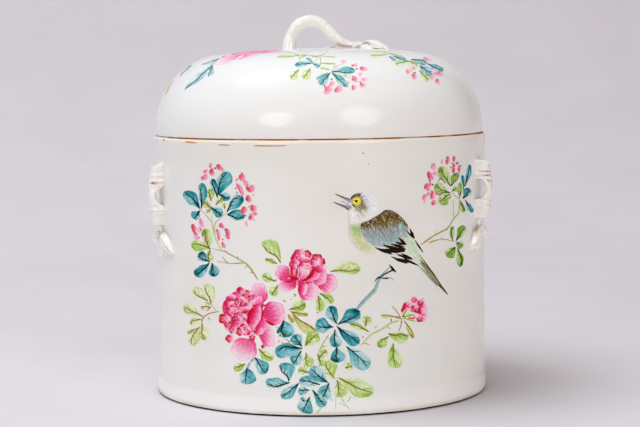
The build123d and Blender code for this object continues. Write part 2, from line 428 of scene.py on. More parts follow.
def buildJar():
    inner, heel = jar["radius"] - jar["wall"], jar["radius"] + jar["heelProud"]
    top, lip, foot, bevel = jar["height"], jar["lipRound"], jar["footRound"], jar["bevel"]
    profile = np.vstack([
        runPoints((inner + bevel, 0), (heel - foot, 0), 4),
        arcPoints((heel - foot, foot), foot, -80, 0, 8),
        runPoints((heel, foot + 0.6), (heel, jar["heelBand"]), 5),
        runPoints((heel, jar["heelBand"] + 0.8), (jar["radius"], top - lip - 1), 110),
        arcPoints((jar["radius"] + jar["flare"] - lip, top - lip), lip, 0, 90, 10),
        runPoints((jar["lipFlat"], top), (inner, top), 3),
        runPoints((inner, top - 2), (inner, bevel), 24),
    ])
    radius, height = profile[:, :1], profile[:, 1:]
    outside = (radius > jar["radius"] - 0.2) & (height >= foot) & (height < top - lip - 0.5)

    def shape(angle, height):
        return np.where(outside, wallRadius(angle, height) - radius, 0.0)

    addTurned("jarWall", lathe(profile, jar["turns"], shape), wallGlaze, "jar", "porcelain_glaze", "jar_wall")
    low, high, cove = jar["baseLow"], jar["baseHigh"], jar["cove"]
    section = np.vstack([
        [(0, low + 0.6)], runPoints((20, low + 0.5), (inner - 8, low), 12), [(inner, low), (inner, high + 4.0)],
        arcPoints((inner - cove, high + cove), cove, -20, -90, 8),
        runPoints((inner - 12, high), (20, high + 0.5), 12), [(0, high + 0.7)],
    ])
    slab = lathe(section, jar["baseTurns"])
    addTurned("jarBase", slab, wallGlaze, "jar", "porcelain_glaze", "base_slab", closed=False)


collar = {   # mm
    "outer": 125.03, "inner": 119.54, "ledge": 127.95, "ledgeTop": 209.95, "rimRound": 1.6, "turns": 224,
}


def buildCollar():
    low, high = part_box("mouth_collar")
    bottom, top = low.z / mm, high.z / mm
    outer, inner, rim = collar["outer"], collar["inner"], collar["rimRound"]
    ledge, level = collar["ledge"], collar["ledgeTop"]
    profile = np.vstack([
        runPoints((inner + 0.6, bottom), (ledge, bottom), 4), runPoints((ledge, bottom + 1), (ledge, level), 8),
        runPoints((ledge - 0.95, level), (outer + 0.8, level), 3),
        runPoints((outer + 0.1, level + 0.45), (outer, top - 2), 8),
        arcPoints((outer - rim, top - rim), rim, 0, 90, 6), arcPoints((inner + rim, top - rim), rim, 90, 180, 6),
        runPoints((inner, top - 3), (inner, bottom + 0.6), 10),
    ])
    ring = lathe(profile, collar["turns"])
    addTurned("mouthCollar", ring, collarClay, "jar", "bare_porcelain", "mouth_collar")


def buildLid():
    skirtArc, base, edge = lid["crownArc"] + lid["shoulderArc"], jar["height"], lid["edgeRound"]
    arc = np.concatenate([
        np.linspace(0, lid["crownArc"], 34), lid["crownArc"] + np.linspace(1.4, lid["shoulderArc"], 60),
        [skirtArc + 1.6, skirtArc + lid["skirt"] - edge],
    ])
    angle = ringTurns(lid["turns"])
    outer = onLid(angle + 0 * arc[:, None], arc[:, None] + 0 * angle)
    radius, height, _ = lidSection(arc[::-1][1:], lid["wall"])
    under = np.vstack([
        arcPoints((lid["radius"] - edge, base + edge), edge, -15, -90, 5),
        runPoints((lid["seat"], base), (lid["radius"] - lid["wall"], base), 4), np.stack([radius, height], -1),
    ])
    dome = np.concatenate([outer, lathe(under, lid["turns"])])
    addTurned("lidDome", dome, domeGlaze, "lid", "porcelain_glaze", "lid_dome", closed=False)


buildJar()
buildCollar()
buildLid()
print("stage: jar and lid")


def tube(centres, across, outward, halfAcross, halfOut, swell):
    # an oval section carried along the centres; swell scales each ring point
    turn = ringTurns(swell.shape[1])
    points = centres[:, None, :]
    for way, half, wave in ((across, halfAcross, np.sin(turn)), (outward, halfOut, np.cos(turn))):
        points = points + way.reshape(-1, 1, 3) * (half[:, None] * wave * swell)[..., None]
    return points


capRings = (0.86, 0.5, 0.0)   # each end closes in rings that shrink to a point


def addRelief(name, points, stainAndPaintedLight, kind, body, node, sharp):
    caps = []
    for ring in (points[0], points[-1]):
        centre = ring.mean(0)
        caps.append(np.stack([centre + (ring - centre) * share for share in capRings]))
    points = np.concatenate([caps[0][::-1], points, caps[1]])
    stainAndPaintedLight = np.pad(np.clip(stainAndPaintedLight, 0, 1), ((len(capRings), len(capRings)), (0, 0)), mode="edge")
    faces = gridFaces(*points.shape[:2], False, True)
    mesh = makeMesh(name, points.reshape(-1, 3), faces, {"stainAndPaintedLight": stainAndPaintedLight.ravel()}, sharp=sharp)
    addPiece(name, mesh, reliefSkin[kind], body, f"{kind}_glaze", node)


lug = {   # mm
    "angle": 68.0, "half": 6.0, "ringProud": 0.55, "ringWidth": 1.1, "sides": 56,
    "grooves": (10.7, -12.0), "grooveDepth": 0.35, "grooveWidth": 0.7,
    "root": 3.4,                       # how far the ends go into the wall
    "slip": 1.9, "slipReach": 1.3,     # wet clay drawn out onto the wall
    "stand": (   # height from the eye, axis off the wall
        (-24.0, 2.2), (-10.0, 3.6), (0.0, 5.8), (10.0, 4.2), (24.0, 3.2),
    ),
    "left": {
        "middle": 163.0, "up": 26.4, "down": 22.2, "eye": 6.7, "eyeDepth": 5.3, "off": 0.4, "slope": 3.0,
        "rings": (17.0, 12.6, 8.9, -10.6, -13.3), "phase": 0.0,
        "chips": ((10.7, 3.9, 1.7, 1.2),),   # height, across, half width, half height
    },
    "right": {
        "middle": 166.2, "up": 23.2, "down": 22.4, "eye": 7.9, "eyeDepth": 7.1, "off": 1.2, "slope": 0.6,
        "rings": (22.0, 12.0, 9.0, -10.4, -13.8), "phase": 1.3,
        "chips": ((14.0, -2.8, 3.4, 0.6), (11.0, -3.0, 2.6, 0.7), (6.6, -4.0, 1.0, 1.0), (6.6, -0.9, 1.3, 0.8)),
    },
}
lugSides = (("left", -lug["angle"]), ("right", lug["angle"]))
up = np.array([0, 0, 1.0])


def lugFrame(angle):
    outward = np.array([sin(radians(angle)), -cos(radians(angle)), 0.0])
    return outward, np.array([cos(radians(angle)), sin(radians(angle)), 0.0])


def buildLug(side, angle):
    # an upright oval stem, hollowed behind by the eye, with proud rings and grooves, both ends a little drawn in
    own, half, turn = lug[side], lug["half"], ringTurns(lug["sides"])
    outward, sideways = lugFrame(angle)
    high, low = own["up"], own["down"]
    rise = np.concatenate([[high + 0.05], np.linspace(high - 0.25, -low + 0.25, 150), [-low - 0.05]])
    stand = np.interp(rise, *zip(*lug["stand"]))
    stand = np.convolve(np.pad(stand, 10, mode="edge"), np.ones(21) / 21, "valid")
    outer = stand + half + own["off"]
    hollow = np.sqrt(np.maximum(own["eye"] ** 2 - rise ** 2, 0)) + own["eyeDepth"] - own["eye"]
    inner = np.where(np.abs(rise) < own["eye"], np.maximum(hollow, -lug["root"]), -lug["root"])
    ring = sum(hump(rise, place, lug["ringWidth"]) for place in own["rings"])
    groove = sum(hump(rise, place, lug["grooveWidth"]) for place in lug["grooves"])
    swell = 1 + (lug["ringProud"] * ring - lug["grooveDepth"] * groove) / half
    swell = swell * (1 - 0.07 * smooth(high - 1.8, high, rise) ** 2 - 0.07 * smooth(low - 1.8, low, -rise) ** 2)
    level, front = rise[:, None], np.cos(turn)[None, :]
    wobble = 0.018 * np.sin(2 * turn + level / 5 + own["phase"]) + 0.012 * np.sin(5 * turn - level / 2.3)
    wide = half * (1 - 0.10 * hump(rise, 0.0, 7.0))
    across = wide[:, None] * np.sin(turn)
    stainAndPaintedLight = np.zeros(across.shape)
    for place, offset, width, tall in own["chips"]:
        stainAndPaintedLight += (front > -0.1) * np.exp(-((level - place) / tall) ** 4 - ((across - offset) / width) ** 4)
    lumps = swell[:, None] * (1 + wobble) * (1 - 0.08 * np.clip(stainAndPaintedLight, 0, 1))
    centres = outward * (jar["radius"] + (outer + inner) / 2)[:, None] + up * (own["middle"] + level)
    points = tube(centres, sideways, outward, wide, (outer - inner) / 2, lumps)
    off = np.maximum(np.hypot(points[..., 0], points[..., 1]) - jar["radius"], 0)
    slip = lug["slip"] * np.exp(-off / lug["slipReach"]) * np.sin(turn)
    points = points + sideways * slip[..., None]
    points[..., 2] += smooth(high - 9, high, level) * own["slope"] * (-0.8 * front - 0.2)
    points[..., 2] += 1.2 * np.exp(-off / 2.0) * (smooth(high - 2, high, level) - smooth(low - 2, low, -level))
    # painted shade inside the eye, at its top and bottom on the side towards the wall
    stainAndPaintedLight += 0.5 * hump(np.abs(level), 7.6, 0.5) * (front < -0.2)
    addRelief(f"{side}LugStem", points, stainAndPaintedLight, "stem", "jar", f"{side}_lug_stem", 55)


blade = {   # crease, roll and ripple are shares of the plumpness, back is mm
    "rows": 36, "columns": 21, "crease": 0.74, "roll": 0.25, "ripple": 0.08, "back": 0.3,
}


def leafPoints(origin, along, across, normal, form):
    # u runs along the spine, v across: a plump blade, highest beside a creased rib, one edge rolled up;
    # arch lifts its middle
    length, width, plump, bend, arch = form
    u = np.linspace(0, 1, blade["rows"])[:, None]
    v = np.linspace(-1, 1, blade["columns"])[None, :]
    body, swell = np.sin(pi * np.clip(u, 0.02, 0.985) ** 0.85) ** 0.5, np.sin(pi * u)
    lift = arch * np.sin(pi * u ** 0.62) ** 0.9
    crease = blade["crease"] * plump * hump(v, 0.05, 0.15) * swell ** 0.5
    roll = blade["roll"] * plump * hump(v, 0.55, 0.22) * swell
    ripple = blade["ripple"] * plump * np.sin(7 * pi * u + 5 * v) * swell * np.abs(v)
    rounded = 0.45 * (1 - v ** 2) ** 0.7 + 0.55 * np.cos(pi * v / 2) ** 1.5
    top = lift + plump * body * rounded - crease + roll + ripple * (1 - v ** 4)
    low = 0.25 * lift - blade["back"] - blade["back"] * body * (1 - np.abs(v) ** 3)
    side = width / 2 * body * v + bend * u ** 2 * length
    flat = origin + along * (u * length + 0 * v)[..., None] + across * side[..., None]
    top, low = (flat + normal * (height + 0 * u * v)[..., None] for height in (top, low))
    return np.concatenate([top, low[:, ::-1]], 1)


def addLeaf(name, origin, along, normal, form, body, node, seat):
    # brown in the fold, at the foot and on one edge, iron colour that also stands as painted shade in these hollows;
    # painted shade underneath
    points = seat(leafPoints(origin, along, np.cross(normal, along), normal, form))
    u = np.linspace(0, 1, blade["rows"])[:, None]
    v = np.linspace(-1, 1, blade["columns"])
    v, under = np.append(v, v[::-1])[None, :], np.repeat((0.0, 1.0), blade["columns"])[None, :]
    fold = hump(v, 0.08, 0.08) * smooth(0.6, 0.08, u)
    foot = 0.9 * smooth(0.34, 0.06, u) * smooth(0.45, 0.9, np.abs(v))
    edge = smooth(-0.72, -0.92, v) * hump(u, 0.3, 0.13)
    addRelief(name, points, (fold + foot + edge) * (1 - under) + 0.5 * under, "leaf", body, node, 65)


def wallSeat(ring, angle):
    # made on the flat plane that touches the wall at the lug, then wrapped round the wall
    outward, sideways = lugFrame(angle)
    lift = np.maximum(ring @ outward - jar["radius"], -sprig["sink"])
    return onWall(radians(angle) + (ring @ sideways) / jar["radius"], ring[..., 2], lift)


def crownSeat(ring, spot, normal):
    # the same on the crown: height over the touching plane becomes height over the glaze
    x, y = ring[..., 0], ring[..., 1]
    lift = ring[..., 2] - spot[2] + ((x - spot[0]) * normal[0] + (y - spot[1]) * normal[1]) / normal[2]
    return np.stack([x, y, crownLevel(x, y) + np.maximum(lift, -sprig["sink"])], -1)


def crownSpot(across):
    height = crownLevel(across, 0.0)
    normal = np.array([across, 0.0, height - lid["crownHeight"]])
    normal = normal / np.linalg.norm(normal)
    return np.array([across, 0.0, height]), normal, np.array([normal[2], 0, -normal[0]])


def swing(ahead, normal, degrees):
    return ahead * cos(radians(degrees)) + np.cross(normal, ahead) * sin(radians(degrees))


sprig = {   # turn from straight down or ahead, length, width, plumpness, side bend, arch
    "left": (
        (-50.0, 16.0, 10.0, 5.0, -0.10, 2.4), (-8.0, 20.0, 9.0, 3.4, -0.04, 1.6), (26.0, 20.0, 9.5, 3.8, 0.05, 1.0),
        (57.0, 27.0, 11.0, 4.0, -0.04, 2.0),
    ),
    "right": (
        (-44.0, 24.0, 10.5, 4.6, 0.05, 2.2), (-4.0, 19.0, 8.0, 3.0, 0.04, 0.0), (44.0, 16.0, 9.5, 5.0, 0.10, 2.0),
    ),
    "lid": (
        (-60.0, 19.0, 12.0, 3.6, -0.10, 0.6), (-24.0, 26.0, 10.0, 2.8, -0.06, 4.8),
        (18.0, 25.0, 9.5, 2.4, 0.06, 3.8), (60.0, 20.0, 9.0, 2.4, 0.10, 2.0),
    ),
    "gap": 1.2, "lidGap": -2.5, "sink": 0.5,
    "twigRadius": 1.7, "twigLength": 6.5, "twigBow": 0.35, "twigShape": (30, 24),   # rows, sides
    "lidTwigRadius": 2.5, "lidTwigBow": 2.0, "lidTwigReach": 3.5,
}


def addTwig(name, start, end, normal, radius, bow, body, node):
    # a round stalk with two knots, bowed off the surface
    share = np.linspace(0, 1, sprig["twigShape"][0])
    axis = (end - start) / np.linalg.norm(end - start)
    centres = runPoints(start, end, len(share)) + normal * (bow * np.sin(pi * share))[:, None]
    knots = 1 + 0.16 * hump(share, 0.3, 0.06) + 0.25 * hump(share, 0.85, 0.12)
    size = radius * 0.94 * knots * (1 - 0.18 * share)
    plain = np.ones(sprig["twigShape"])
    points = tube(centres, np.cross(axis, normal), normal, size, size, plain)
    addRelief(name, points, 0.25 * hump(share, 0.3, 0.05)[:, None] * plain, "leaf", body, node, 60)


def buildSprigs():
    for name, angle in lugSides:
        outward, _ = lugFrame(angle)
        low = lug[name]["middle"] - lug[name]["down"]
        seat = outward * (jar["radius"] + sprig["twigRadius"] / 2)
        knot = up * (low - sprig["twigLength"])
        addTwig(f"{name}LugTwig", seat + up * (low + 0.6), seat + knot, outward, sprig["twigRadius"],
                sprig["twigBow"], "jar", f"{name}_lug_twig")
        for number, (turn, *form) in enumerate(sprig[name], start=1):
            along = swing(-up, outward, turn)
            origin = outward * jar["radius"] + knot + along * sprig["gap"]
            addLeaf(f"{name}LugLeaf{number}", origin, along, outward, form, "jar", f"{name}_lug_leaf_{number}",
                    lambda ring: wallSeat(ring, angle))


handle = {
    "line": (   # across, above the lid's top
        (-23.9, -2.5), (-23.6, 1.5), (-22.9, 6.2), (-21.4, 10.5), (-18.4, 16.1), (-13.2, 20.2), (-5.6, 21.9),
        (0.8, 20.2), (6.6, 15.7), (12.1, 9.9), (17.6, 5.4), (23.6, 3.0), (29.2, 2.0),
    ),
    "rings": (   # share of the length, depth
        (0.14, 0.03), (0.31, 0.035), (0.415, 0.05), (0.44, 0.04), (0.60, 0.04), (0.745, 0.05), (0.86, 0.04),
    ),
    "radius": 5.0, "flare": 1.3, "ringWidth": 0.012, "rows": 170, "sides": 48, "twigStart": 27.0, "twigLength": 10.0,
    "backPlace": 16.0, "backTurn": 112.0, "backGap": 6.5, "backForm": (22.0, 7.0, 2.0, 0.06, 0.0),
}


def buildHandle():
    # a round branch along the given line, ringed, flared at its foot and tapering to the sprig
    fine = smoothPath(handle["line"], 400)
    run = np.concatenate([[0], np.cumsum(np.linalg.norm(np.diff(fine, axis=0), axis=1))])
    share = np.linspace(0, 1, handle["rows"])
    line = np.stack([np.interp(share * run[-1], run, fine[:, axis]) for axis in (0, 1)], -1) + (0, lid["top"])
    slope = np.gradient(line, axis=0)
    slope = slope / np.linalg.norm(slope, axis=1)[:, None]
    centres = np.stack([line[:, 0], 0 * share, line[:, 1]], -1)
    outward = np.stack([-slope[:, 1], 0 * share, slope[:, 0]], -1)
    rings = sum(depth * hump(share, place, handle["ringWidth"]) for place, depth in handle["rings"])
    ribs = 0.015 * np.sin(share * 170) * smooth(0.05, 0.15, share) * (1 - smooth(0.55, 0.8, share))
    flare = handle["flare"] / handle["radius"] * (1 - smooth(0.0, 0.16, share))
    taper = 1 - 0.56 * smooth(0.80, 1.0, share) + 0.05 * hump(share, 0.74, 0.06)
    size = handle["radius"] * (0.985 + rings + ribs + flare) * taper
    turn, along = ringTurns(handle["sides"]), share[:, None]
    lumps = 1 + 0.016 * np.sin(3 * turn + along * 22) + 0.012 * np.sin(2 * turn - along * 37)
    points = tube(centres, np.array([0.0, 1.0, 0.0]), outward, size, size, lumps)
    floor = crownLevel(points[..., 0], points[..., 1]) - sprig["sink"]
    points[..., 2] = np.maximum(points[..., 2], floor)
    under = np.cos(turn)[None, :]
    # brown along the underside of the tapering end, at the cut end and at one ring
    stainAndPaintedLight = 0.9 * smooth(0.80, 0.84, along) * hump(under, -0.55, 0.16)
    stainAndPaintedLight = stainAndPaintedLight + 0.5 * smooth(0.975, 1.0, along) * (under < 0.5) + 0.3 * hump(along, 0.745, 0.008) * (under > 0.4)
    addRelief("lidHandle", points, stainAndPaintedLight, "stem", "lid", "lid_handle", 60)


def buildLidSprig():
    first = crownSpot(handle["twigStart"] + 0.5)[0]
    knot, normal, ahead = crownSpot(handle["twigStart"] + handle["twigLength"])
    lift = normal * sprig["lidTwigRadius"] / 2
    addTwig("lidTwig", first + lift, knot + lift + ahead * sprig["lidTwigReach"], normal, sprig["lidTwigRadius"],
            sprig["lidTwigBow"], "lid", "lid_twig")
    for number, (turn, *form) in enumerate(sprig["lid"], start=1):
        along = swing(ahead, normal, turn)
        addLeaf(f"lidLeaf{number}", knot + along * sprig["lidGap"], along, normal, form, "lid", f"lid_leaf_{number}",
                lambda ring: crownSeat(ring, knot, normal))
    root, tilt, ahead = crownSpot(handle["backPlace"])
    along = swing(ahead, tilt, handle["backTurn"])
    addLeaf("lidBackLeaf", root + along * handle["backGap"], along, tilt, handle["backForm"], "lid", "lid_back_leaf",
            lambda ring: crownSeat(ring, root, tilt))


for side, angle in lugSides:
    buildLug(side, angle)
buildSprigs()
buildHandle()
buildLidSprig()
print("stage: stems, twigs and leaves")


# enamel painting: thin films that follow the glaze, drawn in flat drawing places
enamel = {   # display colours of the fired enamels: pale, middle, deep, line
    "teal": ((144, 203, 210), (42, 153, 164), (0, 94, 104), (0, 24, 28)),
    "blue": ((172, 212, 216), (92, 176, 182), (0, 126, 134), (0, 28, 32)),
    "green": ((212, 228, 172), (174, 206, 104), (116, 164, 22), (104, 68, 0)),
    "moss": ((204, 222, 160), (150, 186, 84), (84, 134, 12), (44, 40, 0)),
    "fern": ((192, 216, 136), (128, 172, 48), (72, 126, 6), (44, 36, 0)),
    "sage": ((230, 236, 200), (202, 216, 150), (166, 186, 88), (134, 84, 16)),
    "mist": ((220, 230, 232), (178, 207, 211), (128, 174, 180), (92, 142, 148)),
    "aqua": ((186, 216, 220), (116, 184, 190), (34, 136, 142), (34, 116, 120)),
    "lime": ((226, 236, 198), (206, 222, 154), (168, 196, 88), (150, 162, 76)),
    "olive": ((216, 220, 160), (182, 188, 84), (140, 142, 32), (124, 72, 12)),
    "rose": ((250, 206, 230), (238, 88, 152), (214, 6, 56), (158, 0, 28)),
    "coral": ((246, 160, 170), (230, 84, 100), (204, 22, 34), (132, 12, 20)),
    "pink": ((250, 210, 226), (232, 104, 150), (206, 24, 66), (132, 12, 20)),
    "blush": ((253, 220, 234), (248, 134, 176), (238, 66, 116), (176, 30, 50)),
}
film = {"base": 0.03, "step": 0.002, "dome": 0.02, "line": 0.06, "sink": -0.12}   # mm above the glaze
gloss = {"glint": 0.005, "matt": 0.95, "darkest": 0.0012}   # white that the gloss adds over a colour is taken off it
sheet = {"margin": 1.2, "grow": 0.4, "spare": 1.08}         # mm round each film where they are laid out for the bake
brush = {
    "leafGrid": (19, 13), "washGrid": (29, 15), "ragged": 0.06,   # rows and columns, uneven run of a wash
    "fine": 0.9, "fineShare": 0.13, "ribTone": (184, 144, 44),
    "dabWobble": 0.17, "petalLobes": 5, "petalEdge": (255, 232, 242),
    "leafGrow": 1.14, "blossomGrow": 1.06,                        # the wet brush spreads past the drawn size
    "oneVein": 5.5, "noVein": 4.4, "halfLeaf": 0.55,              # narrower leaves; a rib this near the edge
    "largePetal": 6000,                                           # half width times half height
}
zoom = 12                             # fine drawings are this many times the photograph's size
insideJar = np.array([0, 0, 120.0])   # films face away from here


def tint(red, green, blue):
    return np.clip((np.array(linear(red, green, blue)[:3]) - gloss["glint"]) / gloss["matt"], gloss["darkest"], 1)


def shades(name):
    return [tint(*row) for row in enamel[name]]


def blendTone(tones, share):
    # 0 pale, 0.5 middle, 1 deep, and on towards the line colour where the wash is thickest
    share = np.clip(share, 0, 1.6)[..., None]
    tone = tones[0]
    for before, after, step in zip(tones, tones[1:], (share * 2, share * 2 - 1, share - 1)):
        tone = tone + (after - before) * np.clip(step, 0, 1)
    return tone


def photoRay(x, y):
    # from the camera through a place of the photograph
    flat = [x - photoView["width"] / 2, photoView["height"] / 2 - y, 0 * x - photoView["focal"]]
    return np.stack(flat, -1) / photoView["focal"] @ cameraTurn.T


def photoSpot(x, y):
    # where the ray meets the wall's plain cylinder
    ray, start = photoRay(x, y), np.array(photoView["place"])
    a = ray[..., 0] ** 2 + ray[..., 1] ** 2
    b = start[0] * ray[..., 0] + start[1] * ray[..., 1]
    c = start[0] ** 2 + start[1] ** 2 - jar["radius"] ** 2
    far = (-b - np.sqrt(np.maximum(b * b - a * c, 0))) / a
    spot = start + far[..., None] * ray
    return np.arctan2(spot[..., 0], -spot[..., 1]), spot[..., 2]


def frontCanvas(x, y, lift):
    return onWall(*photoSpot(x, y), lift)


def backCanvas(x, y, lift):
    # the front turned to the far side, left for right
    turn, height = photoSpot(x, y)
    return onWall(pi - turn, height, lift)


def zoomCanvas(canvas, corner):
    # the same canvas drawn larger, from one of its places
    return lambda x, y, lift: canvas(corner[0] + x / zoom, corner[1] + y / zoom, lift)


def addFilm(batch, x, y, pigment, density, dome=1.0, line=None):
    # a grid of drawing places laid on the surface, its rim turned down into the glaze; a line lies over the last wash
    batch["order"] += line is None
    u = np.linspace(-1, 1, x.shape[0])[:, None]
    v = np.linspace(-1, 1, x.shape[1])[None, :]
    rise = film["base"] + film["step"] * batch["order"] + (line or 0)
    rise = np.pad(rise + film["dome"] * dome * (1 - u ** 2) * (1 - v ** 2), 1, constant_values=film["sink"])
    points = batch["canvas"](np.pad(x, 1, mode="edge"), np.pad(y, 1, mode="edge"), rise)
    rows, columns = rise.shape
    faces = gridFaces(rows, columns)
    i, j = rows // 2, columns // 2
    facing = np.cross(points[i, j] - points[i - 1, j], points[i, j] - points[i, j - 1])
    if facing @ (points[i, j] - insideJar) > 0:
        faces = faces[:, ::-1]
    density = np.broadcast_to(density, x.shape)[..., None]
    paint = np.concatenate([np.broadcast_to(pigment, x.shape + (3,)), density], -1)
    share = np.meshgrid(np.linspace(0, 1, rows), np.linspace(0, 1, columns), indexing="ij")
    batch["points"].append(points.reshape(-1, 3))
    batch["faces"].append(faces + batch["count"])
    batch["pigment"].append(np.pad(paint, ((1, 1), (1, 1), (0, 0)), mode="edge").reshape(-1, 4))
    spans = points[-1, j] - points[0, j], points[i, -1] - points[i, 0]
    batch["cells"].append([np.linalg.norm(span) for span in spans])
    batch["share"].append(np.stack(share, -1).reshape(-1, 2))
    batch["count"] += rows * columns


def packCells(sizes):
    # shelves of rectangles, tallest first
    sizes, margin = np.array(sizes) + sheet["grow"], sheet["margin"]
    width = sheet["spare"] * sqrt(float(np.sum((sizes[:, 0] + margin) * (sizes[:, 1] + margin))))
    width = max(width, float(sizes[:, 0].max()) + margin)
    places, x, y, shelf = np.zeros_like(sizes), 0.0, 0.0, 0.0
    for index in np.argsort(-sizes[:, 1]):
        if x + sizes[index, 0] + margin > width:
            x, y, shelf = 0.0, y + shelf, 0.0
        places[index] = (x + margin / 2, y + margin / 2)
        x, shelf = x + sizes[index, 0] + margin, max(shelf, sizes[index, 1] + margin)
    whole = max(width, y + shelf)
    return places / whole, sizes / whole


def paintPiece(name, body, canvas, *drawings, corner=None):
    # each drawing is a function and its values; with a corner it is at zoom times the size
    batch = {"canvas": canvas, "unit": 1.0, "count": 0, "order": 0}
    batch.update({key: [] for key in ("points", "faces", "pigment", "cells", "share")})
    if corner:
        batch["canvas"], batch["unit"] = zoomCanvas(canvas, corner), zoom
    for draw, *values in drawings:
        draw(batch, *values)
    places, sizes = packCells(batch["cells"])
    uv = np.concatenate([place + share * size for place, share, size in zip(places, batch["share"], sizes)])
    points, faces, pigment = (np.concatenate(batch[key]) for key in ("points", "faces", "pigment"))
    mesh = makeMesh(name, points, faces, {"pigment": pigment}, uv, merge=False, sharp=38)
    addPiece(name, mesh, enamelPaint, body, "porcelain_glaze")


def stroke(batch, points, start, end, tone, density=0.95, middle=None, endTone=None, over=film["line"], rough=0.08,
           edge=None):
    # a brush line of the widths given at the start, the middle and the end, both ends drawn out;
    # its sides thin out or run into edge
    points = np.reshape(points, (-1, 2))
    count = max(9, 7 * len(points))
    path, share, v = smoothPath(points, count), np.linspace(0, 1, count), np.linspace(-1, 1, 5)
    slope = np.gradient(path, axis=0)
    side = np.stack([-slope[:, 1], slope[:, 0]], -1) / np.maximum(np.linalg.norm(slope, axis=1), 1e-6)[:, None]
    middle = (start + end) / 2 if middle is None else middle
    width = np.interp(share, (0, 0.5, 1), (start, middle, end)) / 2
    width = width * (1 + rough * rng.standard_normal(count)) * np.minimum(1, np.minimum(share, 1 - share) * 9 + 0.35)
    place = path[:, None, :] + side[:, None, :] * (width[:, None] * v)[..., None]
    tone = np.array(tone) * np.ones((count, 1))
    if endTone is not None:
        tone = tone * (1 - share[:, None]) + np.array(endTone) * share[:, None]
    tone = np.repeat(tone[:, None, :], len(v), 1)
    if edge is not None:
        tone = tone + (np.array(edge) - tone) * (v ** 2)[None, :, None]
    thick = density * (1 - (0.25 if edge is None else 0) * v[None, :] ** 4)
    thick = thick * (0.97 + 0.03 * np.cos(share * 17 + points[0, 0]))[:, None]
    addFilm(batch, place[..., 0], place[..., 1], tone, thick, 0.1, over + rng.uniform(0, 0.2) * over)


def leafShape(base, tip, width, bend, early, blunt):
    # spine from base to tip with a bow; the half width opens as a wedge, swells late, waves a little
    # and closes in a blunt tip
    base, tip = np.array(base, float), np.array(tip, float)
    u, v = (np.linspace(low, 1, count) for low, count in zip((0, -1), brush["leafGrid"]))
    u, v = u[:, None], v[None, :]
    along = tip - base
    side = np.array([-along[1], along[0]])
    half = np.maximum(np.sin(pi * u ** early), 0.0) ** (0.8 - blunt * smooth(0.25, 0.7, u))
    half = width / 2 * half + 0.02 * width
    half = half * (1 + 0.09 * np.sin(10 * u + 2.2 * np.sign(v) + base[0]) * np.abs(v))
    place = base + along * u[..., None] + side * (bend * 4 * u * (1 - u))[..., None]
    place = place + side / np.linalg.norm(along) * (half * v)[..., None]
    return place[..., 0], place[..., 1], u, v


def leafPaint(batch, base, tip, width, tone, rib, dark, bend, veins):
    # a wet wash, loaded along the rib, the tip and one edge and thin at the other,
    # then rib and side veins in dark line; mist leaves are pointed
    tones, early, blunt = shades(tone), rng.uniform(1.3, 1.75), 0.34
    if tone == "mist":
        early, blunt = 1.0, -0.5
    x, y, u, v = leafShape(base, tip, width, bend, early, blunt)
    turn, loaded = rng.uniform(0, 6.28), rng.choice((-1.0, 1.0))
    swell, rim = np.sin(pi * u), np.abs(v)
    cloud = 0.15 * np.sin(5 * u + 3 * v + turn) + 0.11 * np.sin(13 * u - 7 * v + 2 * turn)
    cloud = cloud + 0.06 * np.sin(29 * u + 17 * v + 3 * turn)
    cloud = cloud - 0.26 * hump(u, rng.uniform(0.35, 0.7), 0.18) * hump(v, -0.35 * loaded, 0.4)
    share = 0.04 + 0.38 * dark + cloud + 0.20 * hump(v, rib, 0.32) * (1 - 0.6 * u)
    share = share + 0.14 * smooth(0.70, 1.0, u) + 0.24 * loaded * v * swell
    share = share + 0.14 * smooth(0.82, 1.0, rim) * (loaded * v > 0)
    pooled = hump(u, rng.choice((0.16, 0.9)), 0.15) * hump(v, 0.5 * loaded, 0.45)
    share = share + dark * pooled - 0.20 * hump(v, rib - 0.5 * loaded, 0.3) * swell
    thick = 1.0 - 0.22 * np.clip(0.5 - share, 0, 1)
    thick = thick - 0.62 * smooth(0.66, 1.0, rim) * (loaded * v < 0) - 0.25 * smooth(0.9, 1.0, rim)
    addFilm(batch, x, y, blendTone(tones, share), thick)
    centre = brush["leafGrid"][1] // 2

    def spine(s, across):
        lines = (side[:, centre] + across * (side[:, -1] - side[:, centre]) for side in (x, y))
        return tuple(float(np.interp(s, u[:, 0], line)) for line in lines)

    fine = min(brush["fine"] * batch["unit"], brush["fineShare"] * width)
    run = [spine(-0.02, 0), spine(0.3, rib * 0.75), spine(0.6, rib), spine(0.94, rib * 0.85)]
    leafy = tone in ("green", "olive", "moss", "fern", "sage")
    if leafy and tone not in ("moss", "fern"):
        stroke(batch, run, fine * 1.9, fine * 1.1, tint(*brush["ribTone"]), 1.1, fine * 1.7, edge=tones[1])
    wide = fine * (0.8 if leafy else 1.25)
    stroke(batch, run, wide * 1.2, wide * 0.7, tones[3], 1.2, wide, over=0.08)
    veinTone = (tones[2] + tones[3]) / 2 if leafy else tones[3]
    for number in range(veins):
        s = 0.22 + 0.46 * number / max(veins - 1, 1) + rng.uniform(-0.04, 0.04)
        sign = (1 if number % 2 else -1) * loaded if abs(rib) < 0.4 else -np.sign(rib)
        path = [spine(s, rib * 0.9), spine(s + 0.13, rib + sign * 0.34), spine(s + 0.24, rib + sign * 0.70)]
        stroke(batch, path, fine * (0.9 if leafy else 1.1), fine * 0.4, veinTone, 0.9, over=0.07)


def disc(size):
    # a square grid pulled round
    u, v = np.meshgrid(*[np.linspace(-1, 1, size)] * 2, indexing="ij")
    px, py = u * np.sqrt(1 - v * v / 2), v * np.sqrt(1 - u * u / 2)
    return px, py, np.arctan2(py, px), np.hypot(px, py)


def turned(x, y, degrees):
    a = radians(degrees)
    return x * cos(a) - y * sin(a), x * sin(a) + y * cos(a)


def ovalPlaces(centre, across, down, tilt, px, py):
    x, y = turned(across * px, down * py, tilt)
    return centre[0] + x, centre[1] + y


